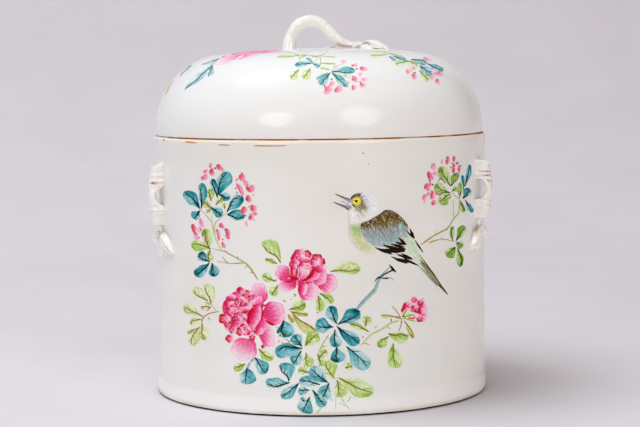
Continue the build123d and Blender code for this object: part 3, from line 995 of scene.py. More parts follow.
def dab(batch, centre, across, down, tilt, tone, deep, toward, density=1.0):
    # a loose touch of the brush: a disc pulled into an oval, deeper on one side and thin at the other
    px, py, way, reach = disc(11)
    turn = rng.uniform(0, 6.28)
    edge = 1 + brush["dabWobble"] * (np.sin(2 * way + turn) + 0.6 * np.sin(3 * way + 2 * turn))
    px, py = px * edge, py * edge
    lean = turned(px, py, -toward)[0]
    share = 0.12 + 0.42 * deep + 0.40 * deep * lean + 0.10 * np.sin(7 * px + 5 * py + turn)
    thin = 0.7 * smooth(0.66, 1.0, reach) * (1 - 0.8 * smooth(-0.2, 0.6, lean))
    thick = density * np.clip(1.0 + 0.15 * lean, 0.3, 1.0) * (1 - thin)
    places = ovalPlaces(centre, across, down, tilt, px, py)
    addFilm(batch, *places, blendTone(shades(tone), share), thick, 0.2)


def heart(batch, x, y, across, down, tilt, toward, off, size, deep, density):
    # a coral touch inside a petal or a bud, towards its deep side
    a = radians(toward + tilt)
    place = (x + off * across * cos(a), y + off * down * sin(a))
    dab(batch, place, size[0] * across, size[1] * down, tilt, "coral", deep, toward, density)


def patch(batch, upper, lower, stops, density=1.0, fade=0.0, start=None):
    # a wash between two given edges; its colours, given from the first edge to the second,
    # run unevenly into each other, and out of start where that is given
    rows, columns = brush["washGrid"]
    first, second = smoothPath(upper, rows)[:, None, :], smoothPath(lower, rows)[:, None, :]
    u, v = np.linspace(0, 1, rows)[:, None], np.linspace(0, 1, columns)[None, :]
    turn = rng.uniform(0, 6.28)
    place = first * (1 - v[..., None]) + second * v[..., None]
    uneven = np.sin(19 * u + turn) * np.sin(pi * v) + rng.standard_normal((rows, columns))
    shift = np.clip(v + brush["ragged"] * uneven, 0, 1)
    marks, colours = [stop[0] for stop in stops], np.array([tint(*stop[1]) for stop in stops])
    tone = np.stack([np.interp(shift, marks, channel) for channel in colours.T], -1)
    if start is not None:
        tone = tone + (tint(*start) - tone) * (1 - smooth(0.12, 0.5, u))[..., None]
    edge = np.minimum(np.minimum(u, 1 - u) * (7 - 4.4 * fade), np.minimum(v, 1 - v) * (5 - 2.8 * fade))
    thick = density * (1 - fade * (1 - smooth(0.0, 1.0, edge)))
    addFilm(batch, place[..., 0], place[..., 1], tone, thick, 0.2)


def spot(batch, x, y, radius, tone, density=1.0, tall=1.0, over=film["line"]):
    px, py, _, reach = disc(7)
    thick = density * (1 - 0.4 * smooth(0.6, 1.0, reach))
    addFilm(batch, x + radius * px, y + radius * tall * py, tint(*tone), thick, 0.1, over)


def petal(batch, centre, across, down, tilt, toward, ruffle, deep, pale, rim, size):
    # a rounded petal with a slightly lobed edge: rose on the side it grows from,
    # pale towards the edge, fine streaks between
    px, py, way, reach = disc(size)
    turn = rng.uniform(0, 6.28)
    edge = 1 + ruffle * reach ** 2 * np.sin(brush["petalLobes"] * way + turn)
    px, py = px * edge, py * edge
    lean, sideways = turned(px, py, -toward)
    fan = np.arctan2(sideways, 1.25 - lean)
    streak = 0.10 * np.sin(22 * fan + turn) * smooth(-0.9, 0.4, lean) + 0.05 * np.sin(41 * fan + 2 * turn)
    share = 0.30 - 0.27 * pale + deep * smooth(-0.75, 1.0, lean) + streak + rim * 0.35 * smooth(0.84, 1.0, reach)
    band = smooth(0.55, 0.8, reach) * (1 - smooth(0.85, 0.97, reach))
    share = share - 0.12 * band * (1 - smooth(-0.2, 0.6, lean))
    thick = 1.0 - 0.12 * pale - 0.45 * smooth(0.3, -0.9, lean) * np.clip(pale, 0, 1)
    places = ovalPlaces(centre, across, down, tilt, px, py)
    addFilm(batch, *places, blendTone(shades("rose"), share), thick, 0.1)
    return turn


def petalLines(batch, centre, across, down, tilt, toward, ruffle, turn, line):
    # a crimson arc where the petal grows from and a white one along its free edge, both on the ruffled outline
    tones, thin = shades("rose"), 0.2 * batch["unit"]
    root = (toward, tones[line], 0.95, 0.8 if line > 1 else 0.2)
    for middle, colour, wide, share in (root, (toward + 180, tint(*brush["petalEdge"]), 0.7, 0.25)):
        way = np.radians(np.linspace(-75, 75, 7)) + radians(middle)
        reach = 0.95 * (1 + ruffle * 0.95 ** 2 * np.sin(brush["petalLobes"] * way + turn))
        arc = np.stack(ovalPlaces(centre, across, down, tilt, reach * np.cos(way), reach * np.sin(way)), -1)
        edge = blendTone(tones, np.array(share))
        stroke(batch, arc, thin, thin, colour, 1.3, wide * batch["unit"], over=0.02, edge=edge)


def makeEnamel():
    # the painted colour over the same glaze, as thick as the film's own density says
    material, tree, shader = startMaterial("enamelPaint")
    skin = placeGlaze(tree, 0.5, 0.0)
    mark = node(tree, "ShaderNodeAttribute", attribute_name="pigment")
    where = objectPlace(tree)
    pooled = rampNode(tree, noiseNode(tree, where, 520.0, 3.0, 0.6), 0.3, 0.7, 1.0, 1.25)
    share = mathNode(tree, "MINIMUM", times(tree, mark.outputs["Alpha"], pooled), 1.0)
    brushed = rampNode(tree, noiseNode(tree, where, 640.0, 4.0, 0.75), 0.3, 0.7, 0.80, 1.14)
    pigment = mixNode(tree, 1.0, mark.outputs["Color"], brushed, "MULTIPLY")
    color = mixNode(tree, share, skin.outputs["Color"], pigment)
    uneven = rampNode(tree, noiseNode(tree, where, 300.0, 2.0), 0.3, 0.7, 0.12, 0.22)
    settle(tree, shader, {"Base Color": color, "Roughness": uneven, "Specular IOR Level": 0.08})
    addBump(tree, shader, noiseNode(tree, where, 700.0, 2.0), 0.08, 0.0003)
    return material


enamelPaint = makeEnamel()
print("stage: brushes")


# blossom sprays, peonies and bird; places are the photograph's, read one by one;
# the name of an ink or an enamel holds for the rows after it
ink = {   # display colours of fine lines
    "stem": (168, 162, 70), "youngStem": (186, 206, 120), "brownStem": (186, 122, 48), "thorn": (118, 84, 60),
    "seed": (122, 28, 22), "orange": (224, 110, 50), "red": (214, 74, 60), "black": (14, 4, 0),
    "branch": (154, 182, 188), "branchShade": (86, 116, 124), "crimson": (120, 18, 34), "ochre": (216, 168, 100),
    "scorch": (166, 104, 40), "deep": (186, 4, 44), "white": (252, 236, 244),
}

leftSpray = {
    "stems": (   # x and y along the path, start width, end width
        "stem",
        ((258, 280, 250.7, 268.6, 245.3, 263, 237.1, 258.2, 226.2, 252.3, 220.7, 250.5, 212.5, 248.8), 1.9, 0.8),
        ((245.3, 262.7, 236.2, 263.4, 228, 263.2, 216.6, 260.9), 1.3, 0.6),
        ((228, 262.7, 224.6, 259.6, 222.5, 255.9), 1.2, 0.5),
        "youngStem", ((221, 250, 215.3, 236.8, 212.5, 223.2, 212.5, 212), 1.5, 0.8),
        "stem", ((215.3, 236.8, 214.6, 225.9, 218, 220.5, 226.6, 212.8), 1.2, 0.6),
        ((212.5, 222.3, 208, 216.6, 201, 209), 1, 0.5),
        "thorn", ((247.5, 266, 244.4, 268.4), 0.9, 0.3), ((252.8, 272.8, 249.6, 272.6), 0.9, 0.3),
        "stem", ((237.2, 257.8, 238.2, 256.2), 1.4, 0.7), ((226.6, 252, 225.6, 250.2), 0.8, 0.4),
    ),
    "leaves": (   # base, tip, width, rib, dark
        "green", (225.3, 209, 224.8, 202.8, 4.4, 0, 0.1), (216.2, 205, 223.4, 196.8, 6.6, 0.1, 0.3),
        (211.6, 201.2, 210.2, 188.6, 7.6, -0.3, 0.5),
        "olive", (211.4, 207.8, 203.6, 202.4, 6, 0.2, 0.6), (211.8, 208.4, 207.6, 213, 4.6, 0, 0.4),
        "teal", (200.6, 208.8, 184.6, 191.6, 10.8, 0.12, 0.95), (201.8, 208.6, 202.6, 182.6, 8.2, -0.35, 0.7),
        (200.8, 210.2, 193.4, 218.4, 8.6, -0.15, 0.8), (218, 197.6, 212.6, 178.6, 6.8, -0.35, 0.9),
        (218.4, 195.4, 229.4, 171.8, 13, -0.35, 0.6), (219.6, 194, 230.6, 198.4, 7.6, 0.25, 0.7),
        (211.4, 207.2, 223, 215, 8.8, 0.1, 0.6), (227.2, 212.2, 242.8, 196.2, 10.8, -0.5, 0.6),
        (227.4, 214.2, 245.6, 216, 10.4, 0.5, 0.8),
        "green", (209, 249, 206.4, 228.6, 9.8, -0.45, 0.8), (211, 249, 191, 244.2, 10, 0.15, 0.6),
        (210.2, 249.6, 209.6, 261.4, 7.8, 0.3, 0.5),
        "teal", (210, 261.6, 198.4, 253.6, 8.6, -0.45, 1), (209.8, 262.6, 195, 275.8, 9.8, 0, 0.85),
        (212.2, 262.8, 215, 276.8, 9.6, 0.45, 0.9),
    ),
    "blossoms": (   # place, half sizes, tilt, deep, side that is deep
        (212.6, 172.8, 2.7, 3.8, -10, 1, 250), (205.4, 177.4, 3.2, 3.2, 0, 0.6, 210),
        (206.4, 171.6, 2, 2.6, 20, 0.55, 200), (211.4, 165.4, 1.8, 2.4, -20, 0.6, 200),
        (220.8, 168.2, 4.2, 2.9, 38, 0.8, 200), (242.8, 177.8, 2.6, 5, -24, 0.8, 250),
        (241, 189, 2.7, 6, -34, 0.6, 200), (251.2, 188.2, 4, 4.6, 0, 0.9, 180), (249.2, 199, 3, 3.4, 0, 1, 180),
        (244.6, 210.2, 3.6, 3.3, 0, 0.95, 190), (254.2, 208.4, 3.1, 4.2, 0, 0.85, 190),
        (251.8, 217.2, 2.2, 3.6, 12, 0.95, 200), (254, 213.6, 2.6, 2.2, 0, 0.5, 0),
        (195.4, 231, 2.9, 6.6, -18, 1, 210), (202.4, 223, 2.4, 4.4, -16, 0.4, 200),
        (222.4, 225.6, 2.4, 2.8, -20, 0.95, 180), (219, 234.2, 2.2, 5.2, -8, 0.55, 180),
        (228.4, 233.8, 2.7, 5, -14, 1, 200), (223.7, 244.7, 1.7, 3, -26, 0.85, 190),
        (237.6, 179.4, 1.7, 1.9, 0, 0.3, 180), (246.6, 223.4, 1.5, 2.6, 0, 0.2, 0), (215.2, 224, 1, 1.7, 0, 0.3, 0),
        (196, 237.6, 2.4, 2, 0, 0.2, 0), (204.2, 238.6, 1.6, 2, 0, 0.3, 0), (199.4, 229.6, 2.6, 3.2, 0, 0.15, 0),
        (247, 183.6, 3.4, 2.6, 30, 0.3, 200),
    ),
    "seeds": (
        "seed", (215.8, 168.2), (220.9, 179.4), (236.4, 188.2), (237.6, 192.8), (242.6, 196.6), (246.2, 215.6),
        (201.6, 229.4), (202.5, 235.4), (225.8, 229.2), "orange", (253.4, 194.8), (249.4, 206.6), (251, 207.6),
        (245.4, 184.6), (247.4, 185.6), "seed", (217, 230.6), "orange", (219.3, 238.2), (222.8, 239.4), "red",
        (199.3, 237.6), "orange", (254.6, 220),
    ),
}

rightSpray = {
    "stems": (
        "stem", ((421, 244.8, 434.5, 235.4, 447, 228.4, 452.8, 219.2, 458.3, 212.2, 459.2, 199.5), 1.8, 0.9),
        "youngStem", ((452.6, 217, 453, 208.5, 452.9, 200), 1.3, 0.8),
        "stem", ((459, 199, 455, 195.6, 451, 191.5), 1.1, 0.6),
        ((428.6, 243, 437, 240, 445.3, 239.4, 454.8, 241.8), 1.5, 0.7),
        "youngStem", ((434.6, 235.2, 436.6, 229.4), 0.9, 0.3),
        "stem", ((441, 231.6, 441.4, 229.8), 1, 0.5),
        "youngStem", ((440.6, 239.8, 442.6, 235.2), 0.8, 0.3),
        "stem", ((446, 228.8, 447, 230.4), 1.6, 0.8),
        "crimson", ((440.2, 177.6, 445.2, 184), 1.2, 0.6), ((440.4, 177.6, 437.2, 182.4), 1, 0.4),
        ((442, 192, 439.2, 196), 1.2, 0.8), ((450.8, 186, 451.4, 176.8), 0.8, 0.4),
    ),
    "leaves": (
        "moss", (450.2, 186.4, 440, 166.4, 10.4, -0.2, 0.4), (451, 186, 457.6, 173.2, 6.8, 0.5, 0.8),
        (450.2, 192.8, 433.8, 185.4, 10.4, 0, 0.7), (450, 193.6, 439.6, 204, 9.4, 0.2, 0.5),
        (451.6, 191.2, 456.8, 187.6, 5.4, 0, 0.6),
        "fern", (459.4, 198.6, 459.8, 182.6, 4.8, 0.2, 0.5), (459.8, 200, 463.2, 212.4, 4.8, -0.3, 0.9),
        "teal", (463.2, 189.6, 461.8, 175, 3.2, 0.2, 0.9), (464.4, 186.6, 469.4, 164, 4.8, -0.1, 0.7),
        (462.6, 198.6, 469, 188.2, 7.2, 0.2, 0.9), (465.2, 200.4, 472, 212.6, 5.2, 0, 0.6),
        "olive", (451.2, 195.6, 447.6, 198.2, 3.6, 0, 0.4),
        "fern", (453.2, 241.6, 452.6, 226, 4.2, -0.3, 0.7), (455.8, 241.2, 463.8, 225.2, 7.4, 0.1, 0.8),
        (456.4, 242.2, 463, 246.6, 6.8, -0.1, 0.8), (455.6, 246.8, 446.4, 256.6, 9.4, 0.2, 0.7),
        (457.4, 247.8, 460.6, 267, 6.4, -0.45, 0.9),
    ),
    "blossoms": (
        (447.4, 160.4, 2, 3.8, 0, 1, 200), (453.8, 159, 1.4, 3.2, 12, 1, 180), (452.6, 168, 1.9, 4.8, 6, 1, 0),
        (459, 169.4, 1.5, 4.2, 10, 0.8, 180), (441.8, 161.6, 1.2, 1.8, 0, 0.5, 180),
        (433.4, 167, 3, 3.4, 0, 0.35, 220), (430.2, 176.2, 3, 4.8, -10, 0.95, 180),
        (435, 173.6, 2.6, 1.8, 0, 0.35, 180), (427.4, 187, 3.4, 3.6, 0, 0.75, 180),
        (430.6, 184.6, 2.6, 1.6, 0, 0.5, 200), (424.8, 197, 2, 4, 20, 0.45, 180),
        (428.4, 193.4, 2.4, 1.6, -30, 0.5, 200), (432.4, 196, 2.3, 4.2, 10, 0.8, 200),
        (434, 202.8, 2.4, 2.6, 0, 0.75, 180), (435.4, 193.8, 2.2, 1.6, -20, 0.6, 0), (456, 163, 1.5, 1.1, 20, 0.8, 0),
        (424, 201.6, 1.4, 1.6, 0, 0.2, 0),
    ),
    "seeds": (
        "seed", (438.6, 171.8), (429.6, 181.8), (432.2, 184.4), "crimson", (440, 194.6), "red", (430.6, 195),
        "orange", (430.8, 197.2), "seed", (439.8, 198), (456.8, 163.6), (450.2, 167.4), "orange", (451.4, 163),
        (431.4, 191), "red", (460.6, 165.6),
    ),
}

lowSprays = {
    "stems": (
        "youngStem", ((360.6, 345.6, 366, 339.6, 371.7, 334.2, 381.7, 329.2, 390, 323.4, 399.2, 320.6), 1.6, 2),
        "brownStem", ((391.2, 305.8, 396, 310.4, 400.4, 317.6, 401.7, 320.2), 0.7, 1.3),
        ((401.6, 320, 400.6, 326.4, 398.2, 332), 1.3, 0.8), ((380.6, 316.2, 390, 316.4, 400.4, 318.4), 0.7, 1.2),
        ((388, 333.6, 400, 334.2, 411.8, 335.2), 1.2, 0.7), ((349.8, 324.4, 359, 326.6, 369.4, 332), 0.8, 1.2),
        "red", ((385.6, 325.4, 390.2, 328.8), 0.5, 0.8), ((376.4, 326, 375.4, 328.2), 0.6, 1),
        "crimson", ((391.2, 318.4, 391.4, 321.4), 0.9, 1.3),
        "red", ((364.2, 343.4, 370, 345), 0.8, 0.4),
        "stem", ((328.6, 335, 324.6, 341, 320.6, 348), 1.2, 0.8),
        "youngStem", ((320.4, 348.6, 324, 345.4), 1.8, 1.4),
        "stem", ((296.6, 344, 290, 341.4, 284, 338.2), 0.9, 0.5),
        "brownStem", ((290.6, 345, 286.4, 338.2), 1, 0.5),
        "youngStem", ((336.6, 381, 336, 395, 335.6, 409), 1.4, 0.6), ((340.4, 396, 345, 404, 351, 410), 1.3, 0.5),
        ((338.6, 402.6, 345.6, 406.4), 0.9, 0.5),
        "brownStem", ((329.6, 396.6, 333, 401.4), 0.9, 0.5),
        "youngStem", ((351, 396.4, 347.4, 402.2), 1.3, 0.8), ((316, 413, 322.4, 407), 1.4, 0.8),
        ((330.8, 378.4, 338, 377.6), 0.9, 0.7), ((318, 354, 320, 349, 326.6, 345.6), 1, 1.2),
        ((346.8, 359, 343, 366), 1, 0.5),
        "branch", ((250.6, 362, 254.6, 358), 3.4, 2.8), ((247.2, 368.6, 249.8, 362.4), 3, 2.6),
    ),
    "leaves": (
        "green", (281, 263, 262.6, 241.4, 12, -0.85, 0.4),
        "olive", (277.6, 263.6, 265, 259.4, 4.6, 0, 0.8),
        "green", (275.6, 281.4, 262.2, 274.6, 8.4, -0.1, 0.3), (278, 285, 270.6, 294.6, 9.6, -0.2, 0.4),
        (289.2, 309.6, 305.6, 303, 10.4, 0.2, 0.8),
        "olive", (290.4, 311.6, 308.4, 314.6, 5, 0, 0.5), (292, 312.6, 318.2, 333.6, 9, -0.75, 0.4),
        (288, 314.4, 294, 322.6, 5.6, 0.1, 0.3),
        "green", (318.4, 295.6, 319.8, 311.6, 8.4, 0.1, 0.8), (319.6, 293, 333.4, 302.6, 7.8, 0.1, 0.8),
        (330.4, 271.4, 360.6, 268, 11.4, 0.6, 0.35),
        "teal", (283.6, 320.2, 288.6, 337.2, 15.6, 0.55, 1), (302, 346.8, 293, 335.2, 10.8, 0, 0.8),
        (302.6, 348.2, 274.8, 352.4, 13.6, 0.55, 0.7),
        "blue", (301.4, 350.6, 294, 364.8, 11.6, 0, 0.55),
        "green", (304.8, 346, 318.2, 333.6, 12, -0.1, 0.9), (258.6, 348.8, 273.2, 359.4, 9, 0.1, 0.4),
        (245.4, 363.8, 233.4, 369.4, 7.4, 0.1, 0.6),
        "blue", (254.8, 357.2, 266, 373.6, 11.6, 0.1, 0.8), (247.2, 367.4, 246.8, 384.4, 15.2, 0.2, 0.8),
        "teal", (336.8, 324, 329.2, 306, 11, 0.1, 0.6), (337.4, 324.4, 360, 311.2, 13, 0.25, 1),
        (333.4, 327, 315.4, 324.6, 14, -0.1, 0.7), (336.4, 326, 359.4, 343.6, 11.4, -0.15, 0.9),
        "blue", (335, 329.4, 337.4, 347.4, 11.2, 0.2, 0.6),
        "teal", (336.4, 346.8, 338.6, 362.6, 13.6, 0.25, 0.9),
        "blue", (346.2, 346.2, 368.6, 368.4, 15.6, -0.1, 0.3),
        "green", (365.4, 326.6, 367.6, 316.4, 9.2, 0, 0.5), (369, 331.8, 349.4, 323.8, 5.6, 0.2, 0.6),
        "olive", (400, 317.2, 380.4, 316, 3.6, 0.3, 0.3), (404, 320.8, 413.6, 338.4, 4.6, -0.4, 0.6),
        "green", (388, 333.6, 408.4, 337.4, 9.6, -0.7, 1), (388.6, 336.4, 377.6, 346.4, 9, 0.4, 0.6),
        (393, 343, 397, 368.4, 13.4, 0.25, 0.6), (306, 352.6, 309.4, 367.4, 10.4, 0.3, 0.3),
        (318, 358.6, 327, 350.4, 8.4, -0.2, 0.3), (317.6, 354, 322.4, 367, 7, 0.2, 0.2),
        (333.8, 377.6, 325.8, 361, 13.6, -0.25, 0.4), (308.8, 372.4, 298, 369.4, 7.4, 0, 0.3),
        (345, 368, 352.4, 366, 7.6, 0, 0.4),
        "blue", (289, 381.4, 281, 363.4, 12.6, -0.75, 0.7), (290, 382.4, 265.6, 382, 9.6, -0.55, 0.6),
        (299, 383, 281.4, 398.2, 10, 0, 0.7), (328, 382.6, 310.6, 367.4, 12.6, -0.1, 0.7),
        (320, 384.6, 298.8, 380.4, 9.6, 0.1, 0.3), (329, 382.6, 321.6, 398.6, 13.6, 0, 0.7),
        (312.2, 389.8, 325.2, 406.4, 10.4, 0.15, 0.7), (309.8, 396.8, 302.6, 412.4, 15, 0, 0.7),
        (309.4, 390, 298, 391, 8, 0.1, 0.2), (304.6, 401.4, 300.4, 398, 4.6, 0, 0.5),
        "green", (337, 379.8, 341, 397.6, 12.4, 0.25, 0.4), (338.4, 377.4, 373.6, 392.8, 15.4, 0.1, 0.35),
        (294, 294.2, 296.4, 295.4, 4.4, 0, 0.2), (278.4, 336.4, 282, 333.4, 3.4, 0, 0.2),
    ),
    "seeds": (
        "red", (284, 300.6), (285.6, 301.6), (290.8, 299.2), (277, 327.4), (280.6, 335.6), "orange", (279, 341),
        "red", (282.4, 343), (317.6, 312.4), (362.8, 337), (366, 343.6), "crimson", (276, 280),
    ),
}

lowSprig = {
    "stems": (
        "brownStem", ((219.4, 311.2, 212.2, 312.8, 207.6, 314.3, 203.3, 317.9, 201.3, 322.4), 1, 1.5),
        "youngStem", ((216.8, 310.9, 212.2, 305.1, 210.7, 302), 1, 0.8),
        "crimson", ((210.7, 307.1, 206.6, 311.2), 1.2, 0.5),
    ),
    "leaves": (
        "green", (211.4, 304.4, 205.6, 283.8, 9, -0.75, 0.3), (208.4, 301, 193, 288.6, 9.8, -0.4, 0.4),
        (210.4, 307, 200.6, 306.8, 5.4, 0.1, 0.5), (211, 304.4, 205.6, 302.2, 3.6, 0, 0.6),
        (203, 316.6, 184.2, 305.2, 10.4, -0.25, 0.4), (201, 319, 190, 324.6, 7.2, 0.4, 0.5),
        "olive", (197.4, 328.2, 187.2, 333.4, 3.4, 0, 0.9),
        "green", (199.8, 326.6, 191.8, 346, 9.4, 0.35, 0.4), (202, 322.6, 206.2, 340, 10.4, 0.35, 0.6),
        (208.2, 317.4, 210.6, 320, 3.4, 0, 0.2),
    ),
    "seeds": ("crimson", (210.4, 307.2), "brownStem", (202.6, 307.4)),
}

budFlower = {   # at zoom times the size, from the corner
    "corner": (320, 290),
    "petals": (   # place, half sizes, tilt, deep, side that is deep, pale
        (1030, 215, 44, 75, 25, 0.7, 190, 0.1), (1085, 165, 50, 45, 0, 0.3, 90, 0.5),
        (1235, 280, 62, 100, 0, 0.4, 180, 0.5), (1230, 200, 46, 90, -8, 0.6, 180, 0.2),
        (1125, 110, 34, 38, 0, 0.75, 90, 0), (1200, 145, 40, 36, 0, 0.8, 100, 0),
        (1135, 210, 60, 55, 0, 0.35, 60, 0.3), (1165, 235, 30, 38, 0, 1, 90, -0.2),
        (1215, 250, 36, 40, 0, 0.5, 180, 0.1), (1095, 205, 26, 24, 0, 0.8, 0, 0),
        (1190, 340, 34, 40, 0, 0.95, 90, -0.1), (1120, 325, 52, 22, -6, 0.8, 180, 0),
    ),
    "calyx": (   # base, tip, width
        (985, 325, 1050, 225, 44), (985, 320, 1140, 300, 46), (985, 335, 1150, 380, 30), (990, 300, 1030, 330, 60),
    ),
}

peonyCorner = (212, 240)
largePeony = (   # place, half sizes, tilt, deep, side that is deep, pale
    (300, 840, 170, 215, 0, 0.3, 200, -0.1), (440, 960, 150, 190, 0, 0.3, 180, -0.1),
    (570, 640, 98, 132, -12, 0.35, 80, 0.45), (745, 880, 138, 145, 0, 0.55, 165, 0.35),
    (650, 1130, 92, 165, -24, 0.6, 215, 0.55), (385, 1310, 158, 138, 0, 0.35, 300, 0.75),
    (215, 1185, 48, 44, 20, 0.9, 170, 0.1), (600, 1010, 80, 90, 0, 0.7, 200, 0),
    (620, 1280, 26, 24, 0, 0.6, 200, -0.1), (535, 790, 78, 128, 24, 0.45, 40, 0.05),
    (350, 608, 50, 38, 28, 0.7, 180, 0.1), (425, 655, 52, 52, 0, 0.75, 200, 0), (482, 705, 46, 44, 0, 0.5, 230, 0.1),
    (232, 695, 54, 42, -10, 0.6, 130, 0.1), (192, 760, 38, 30, 0, 0.65, 180, 0.05),
    (255, 775, 44, 38, 0, 0.45, 90, 0.2), (362, 720, 44, 38, 0, 0.4, 120, 0.25), (306, 742, 32, 40, 0, 1, 200, -0.2),
    (388, 772, 50, 40, 10, 0.5, 160, 0.15), (434, 792, 44, 44, 0, 0.35, 200, 0.3),
    (218, 860, 40, 58, -20, 0.8, 190, 0), (270, 850, 44, 42, 0, 0.5, 60, 0.15),
    (392, 838, 52, 36, -10, 0.55, 100, 0.15), (332, 872, 50, 28, 8, 0.85, 60, 0),
    (150, 945, 62, 64, 20, 0.85, 170, 0.05), (350, 935, 74, 46, -8, 0.7, 130, 0.05),
    (300, 955, 62, 44, 0, 0.75, 180, 0.05), (200, 1030, 50, 54, 0, 1, 265, -0.1),
    (335, 1000, 82, 44, 6, 0.35, 200, 0.35), (250, 1082, 44, 42, 0, 0.5, 200, 0.1),
    (395, 1055, 66, 50, 0, 0.55, 180, 0.1), (510, 915, 78, 158, 16, 0.85, 190, 0.15),
    (560, 1090, 54, 46, 0, 0.55, 200, 0.1), (336, 1096, 46, 50, 0, 0.95, 170, -0.05),
    (425, 1106, 30, 30, 0, 0.9, 0, -0.15), (482, 1165, 36, 40, 0, 1.1, 90, -0.25),
)
smallPeony = (
    (1110, 290, 180, 140, 0, 0.3, 180, -0.1), (1110, 430, 190, 120, 0, 0.35, 180, -0.1),
    (848, 392, 88, 94, -10, 0.5, 50, 0.35), (1390, 520, 118, 118, 10, 0.5, 190, 0.5),
    (905, 540, 110, 76, -12, 0.6, 330, 0.45), (1155, 612, 124, 116, 0, 0.55, 195, 0.6),
    (1290, 450, 92, 92, 0, 0.5, 200, 0.3), (1090, 580, 50, 80, 8, 0.5, 180, 0.1),
    (1245, 395, 62, 98, 24, 0.5, 200, 0.1), (1300, 335, 72, 52, 10, 0.45, 140, 0.15),
    (1040, 168, 74, 52, -30, 0.55, 210, 0.15), (992, 218, 40, 54, 15, 0.65, 190, 0.05),
    (1062, 218, 46, 42, 0, 0.5, 160, 0.1), (1136, 172, 50, 46, 0, 0.9, 330, -0.05),
    (1132, 238, 46, 30, 0, 0.75, 100, 0), (1010, 272, 36, 30, 0, 0.45, 180, 0.2),
    (1230, 270, 44, 44, 0, 0.4, 200, 0.2), (1262, 222, 64, 50, 6, 1, 250, -0.05),
    (1312, 262, 44, 46, 0, 0.6, 0, 0.05), (1082, 302, 40, 42, 0, 0.65, 190, 0.05),
    (1142, 312, 36, 32, 0, 0.75, 90, 0), (990, 388, 46, 92, 4, 0.9, 150, 0), (1048, 390, 36, 76, 4, 0.35, 180, 0.3),
    (1112, 398, 56, 80, 26, 0.2, 100, 0.75), (1190, 350, 30, 44, 0, 0.9, 30, -0.1),
)
peonyTouches = (   # path, start, middle, end width
    "deep", ((955, 440, 1000, 465, 1030, 450), 30, 46, 20),
    ((1075, 492, 1140, 465, 1200, 400, 1222, 335), 14, 52, 26), ((870, 490, 930, 500, 990, 480), 8, 18, 10),
    ((1040, 500, 1120, 520, 1210, 505), 10, 16, 8), ((605, 780, 640, 785, 672, 768), 22, 16, 8),
    ((600, 800, 606, 880, 590, 960), 12, 18, 10), ((440, 1020, 440, 900, 480, 820), 14, 30, 10),
    ((640, 960, 690, 995, 740, 1010), 14, 26, 16),
    "white", ((290, 975, 350, 985, 400, 1000), 5, 8, 4), ((330, 960, 370, 970, 410, 975), 4, 6, 3),
    ((455, 760, 480, 790, 510, 815), 4, 8, 4), ((170, 960, 190, 975, 220, 970), 8, 14, 6),
    ((340, 620, 380, 625, 410, 610), 4, 9, 4), ((250, 780, 280, 790, 300, 785), 4, 8, 4),
    ((590, 800, 588, 870, 560, 980), 4, 7, 4), ((500, 1060, 515, 1080, 530, 1070), 4, 8, 4),
    ((360, 745, 375, 760, 372, 785), 5, 9, 5), ((1005, 250, 1030, 235, 1060, 200), 4, 8, 4),
    ((1225, 250, 1250, 275, 1290, 270), 5, 10, 5), ((1100, 270, 1130, 265, 1160, 275), 4, 8, 4),
    ((935, 345, 935, 390, 940, 420), 4, 10, 4), ((1020, 480, 1022, 530, 1030, 560), 5, 12, 5),
)

rimMarks = (
    (163.6, 140, 166, 140.2), (186, 141.6, 192, 142.3, 198, 142.9), (219, 144.8, 231, 145.2),
    (254, 145.6, 270, 145.9, 287, 145.6), (361.8, 152.9, 363, 153.1, 364.2, 153.2), (367.8, 163.6, 368.4, 164.6),
)

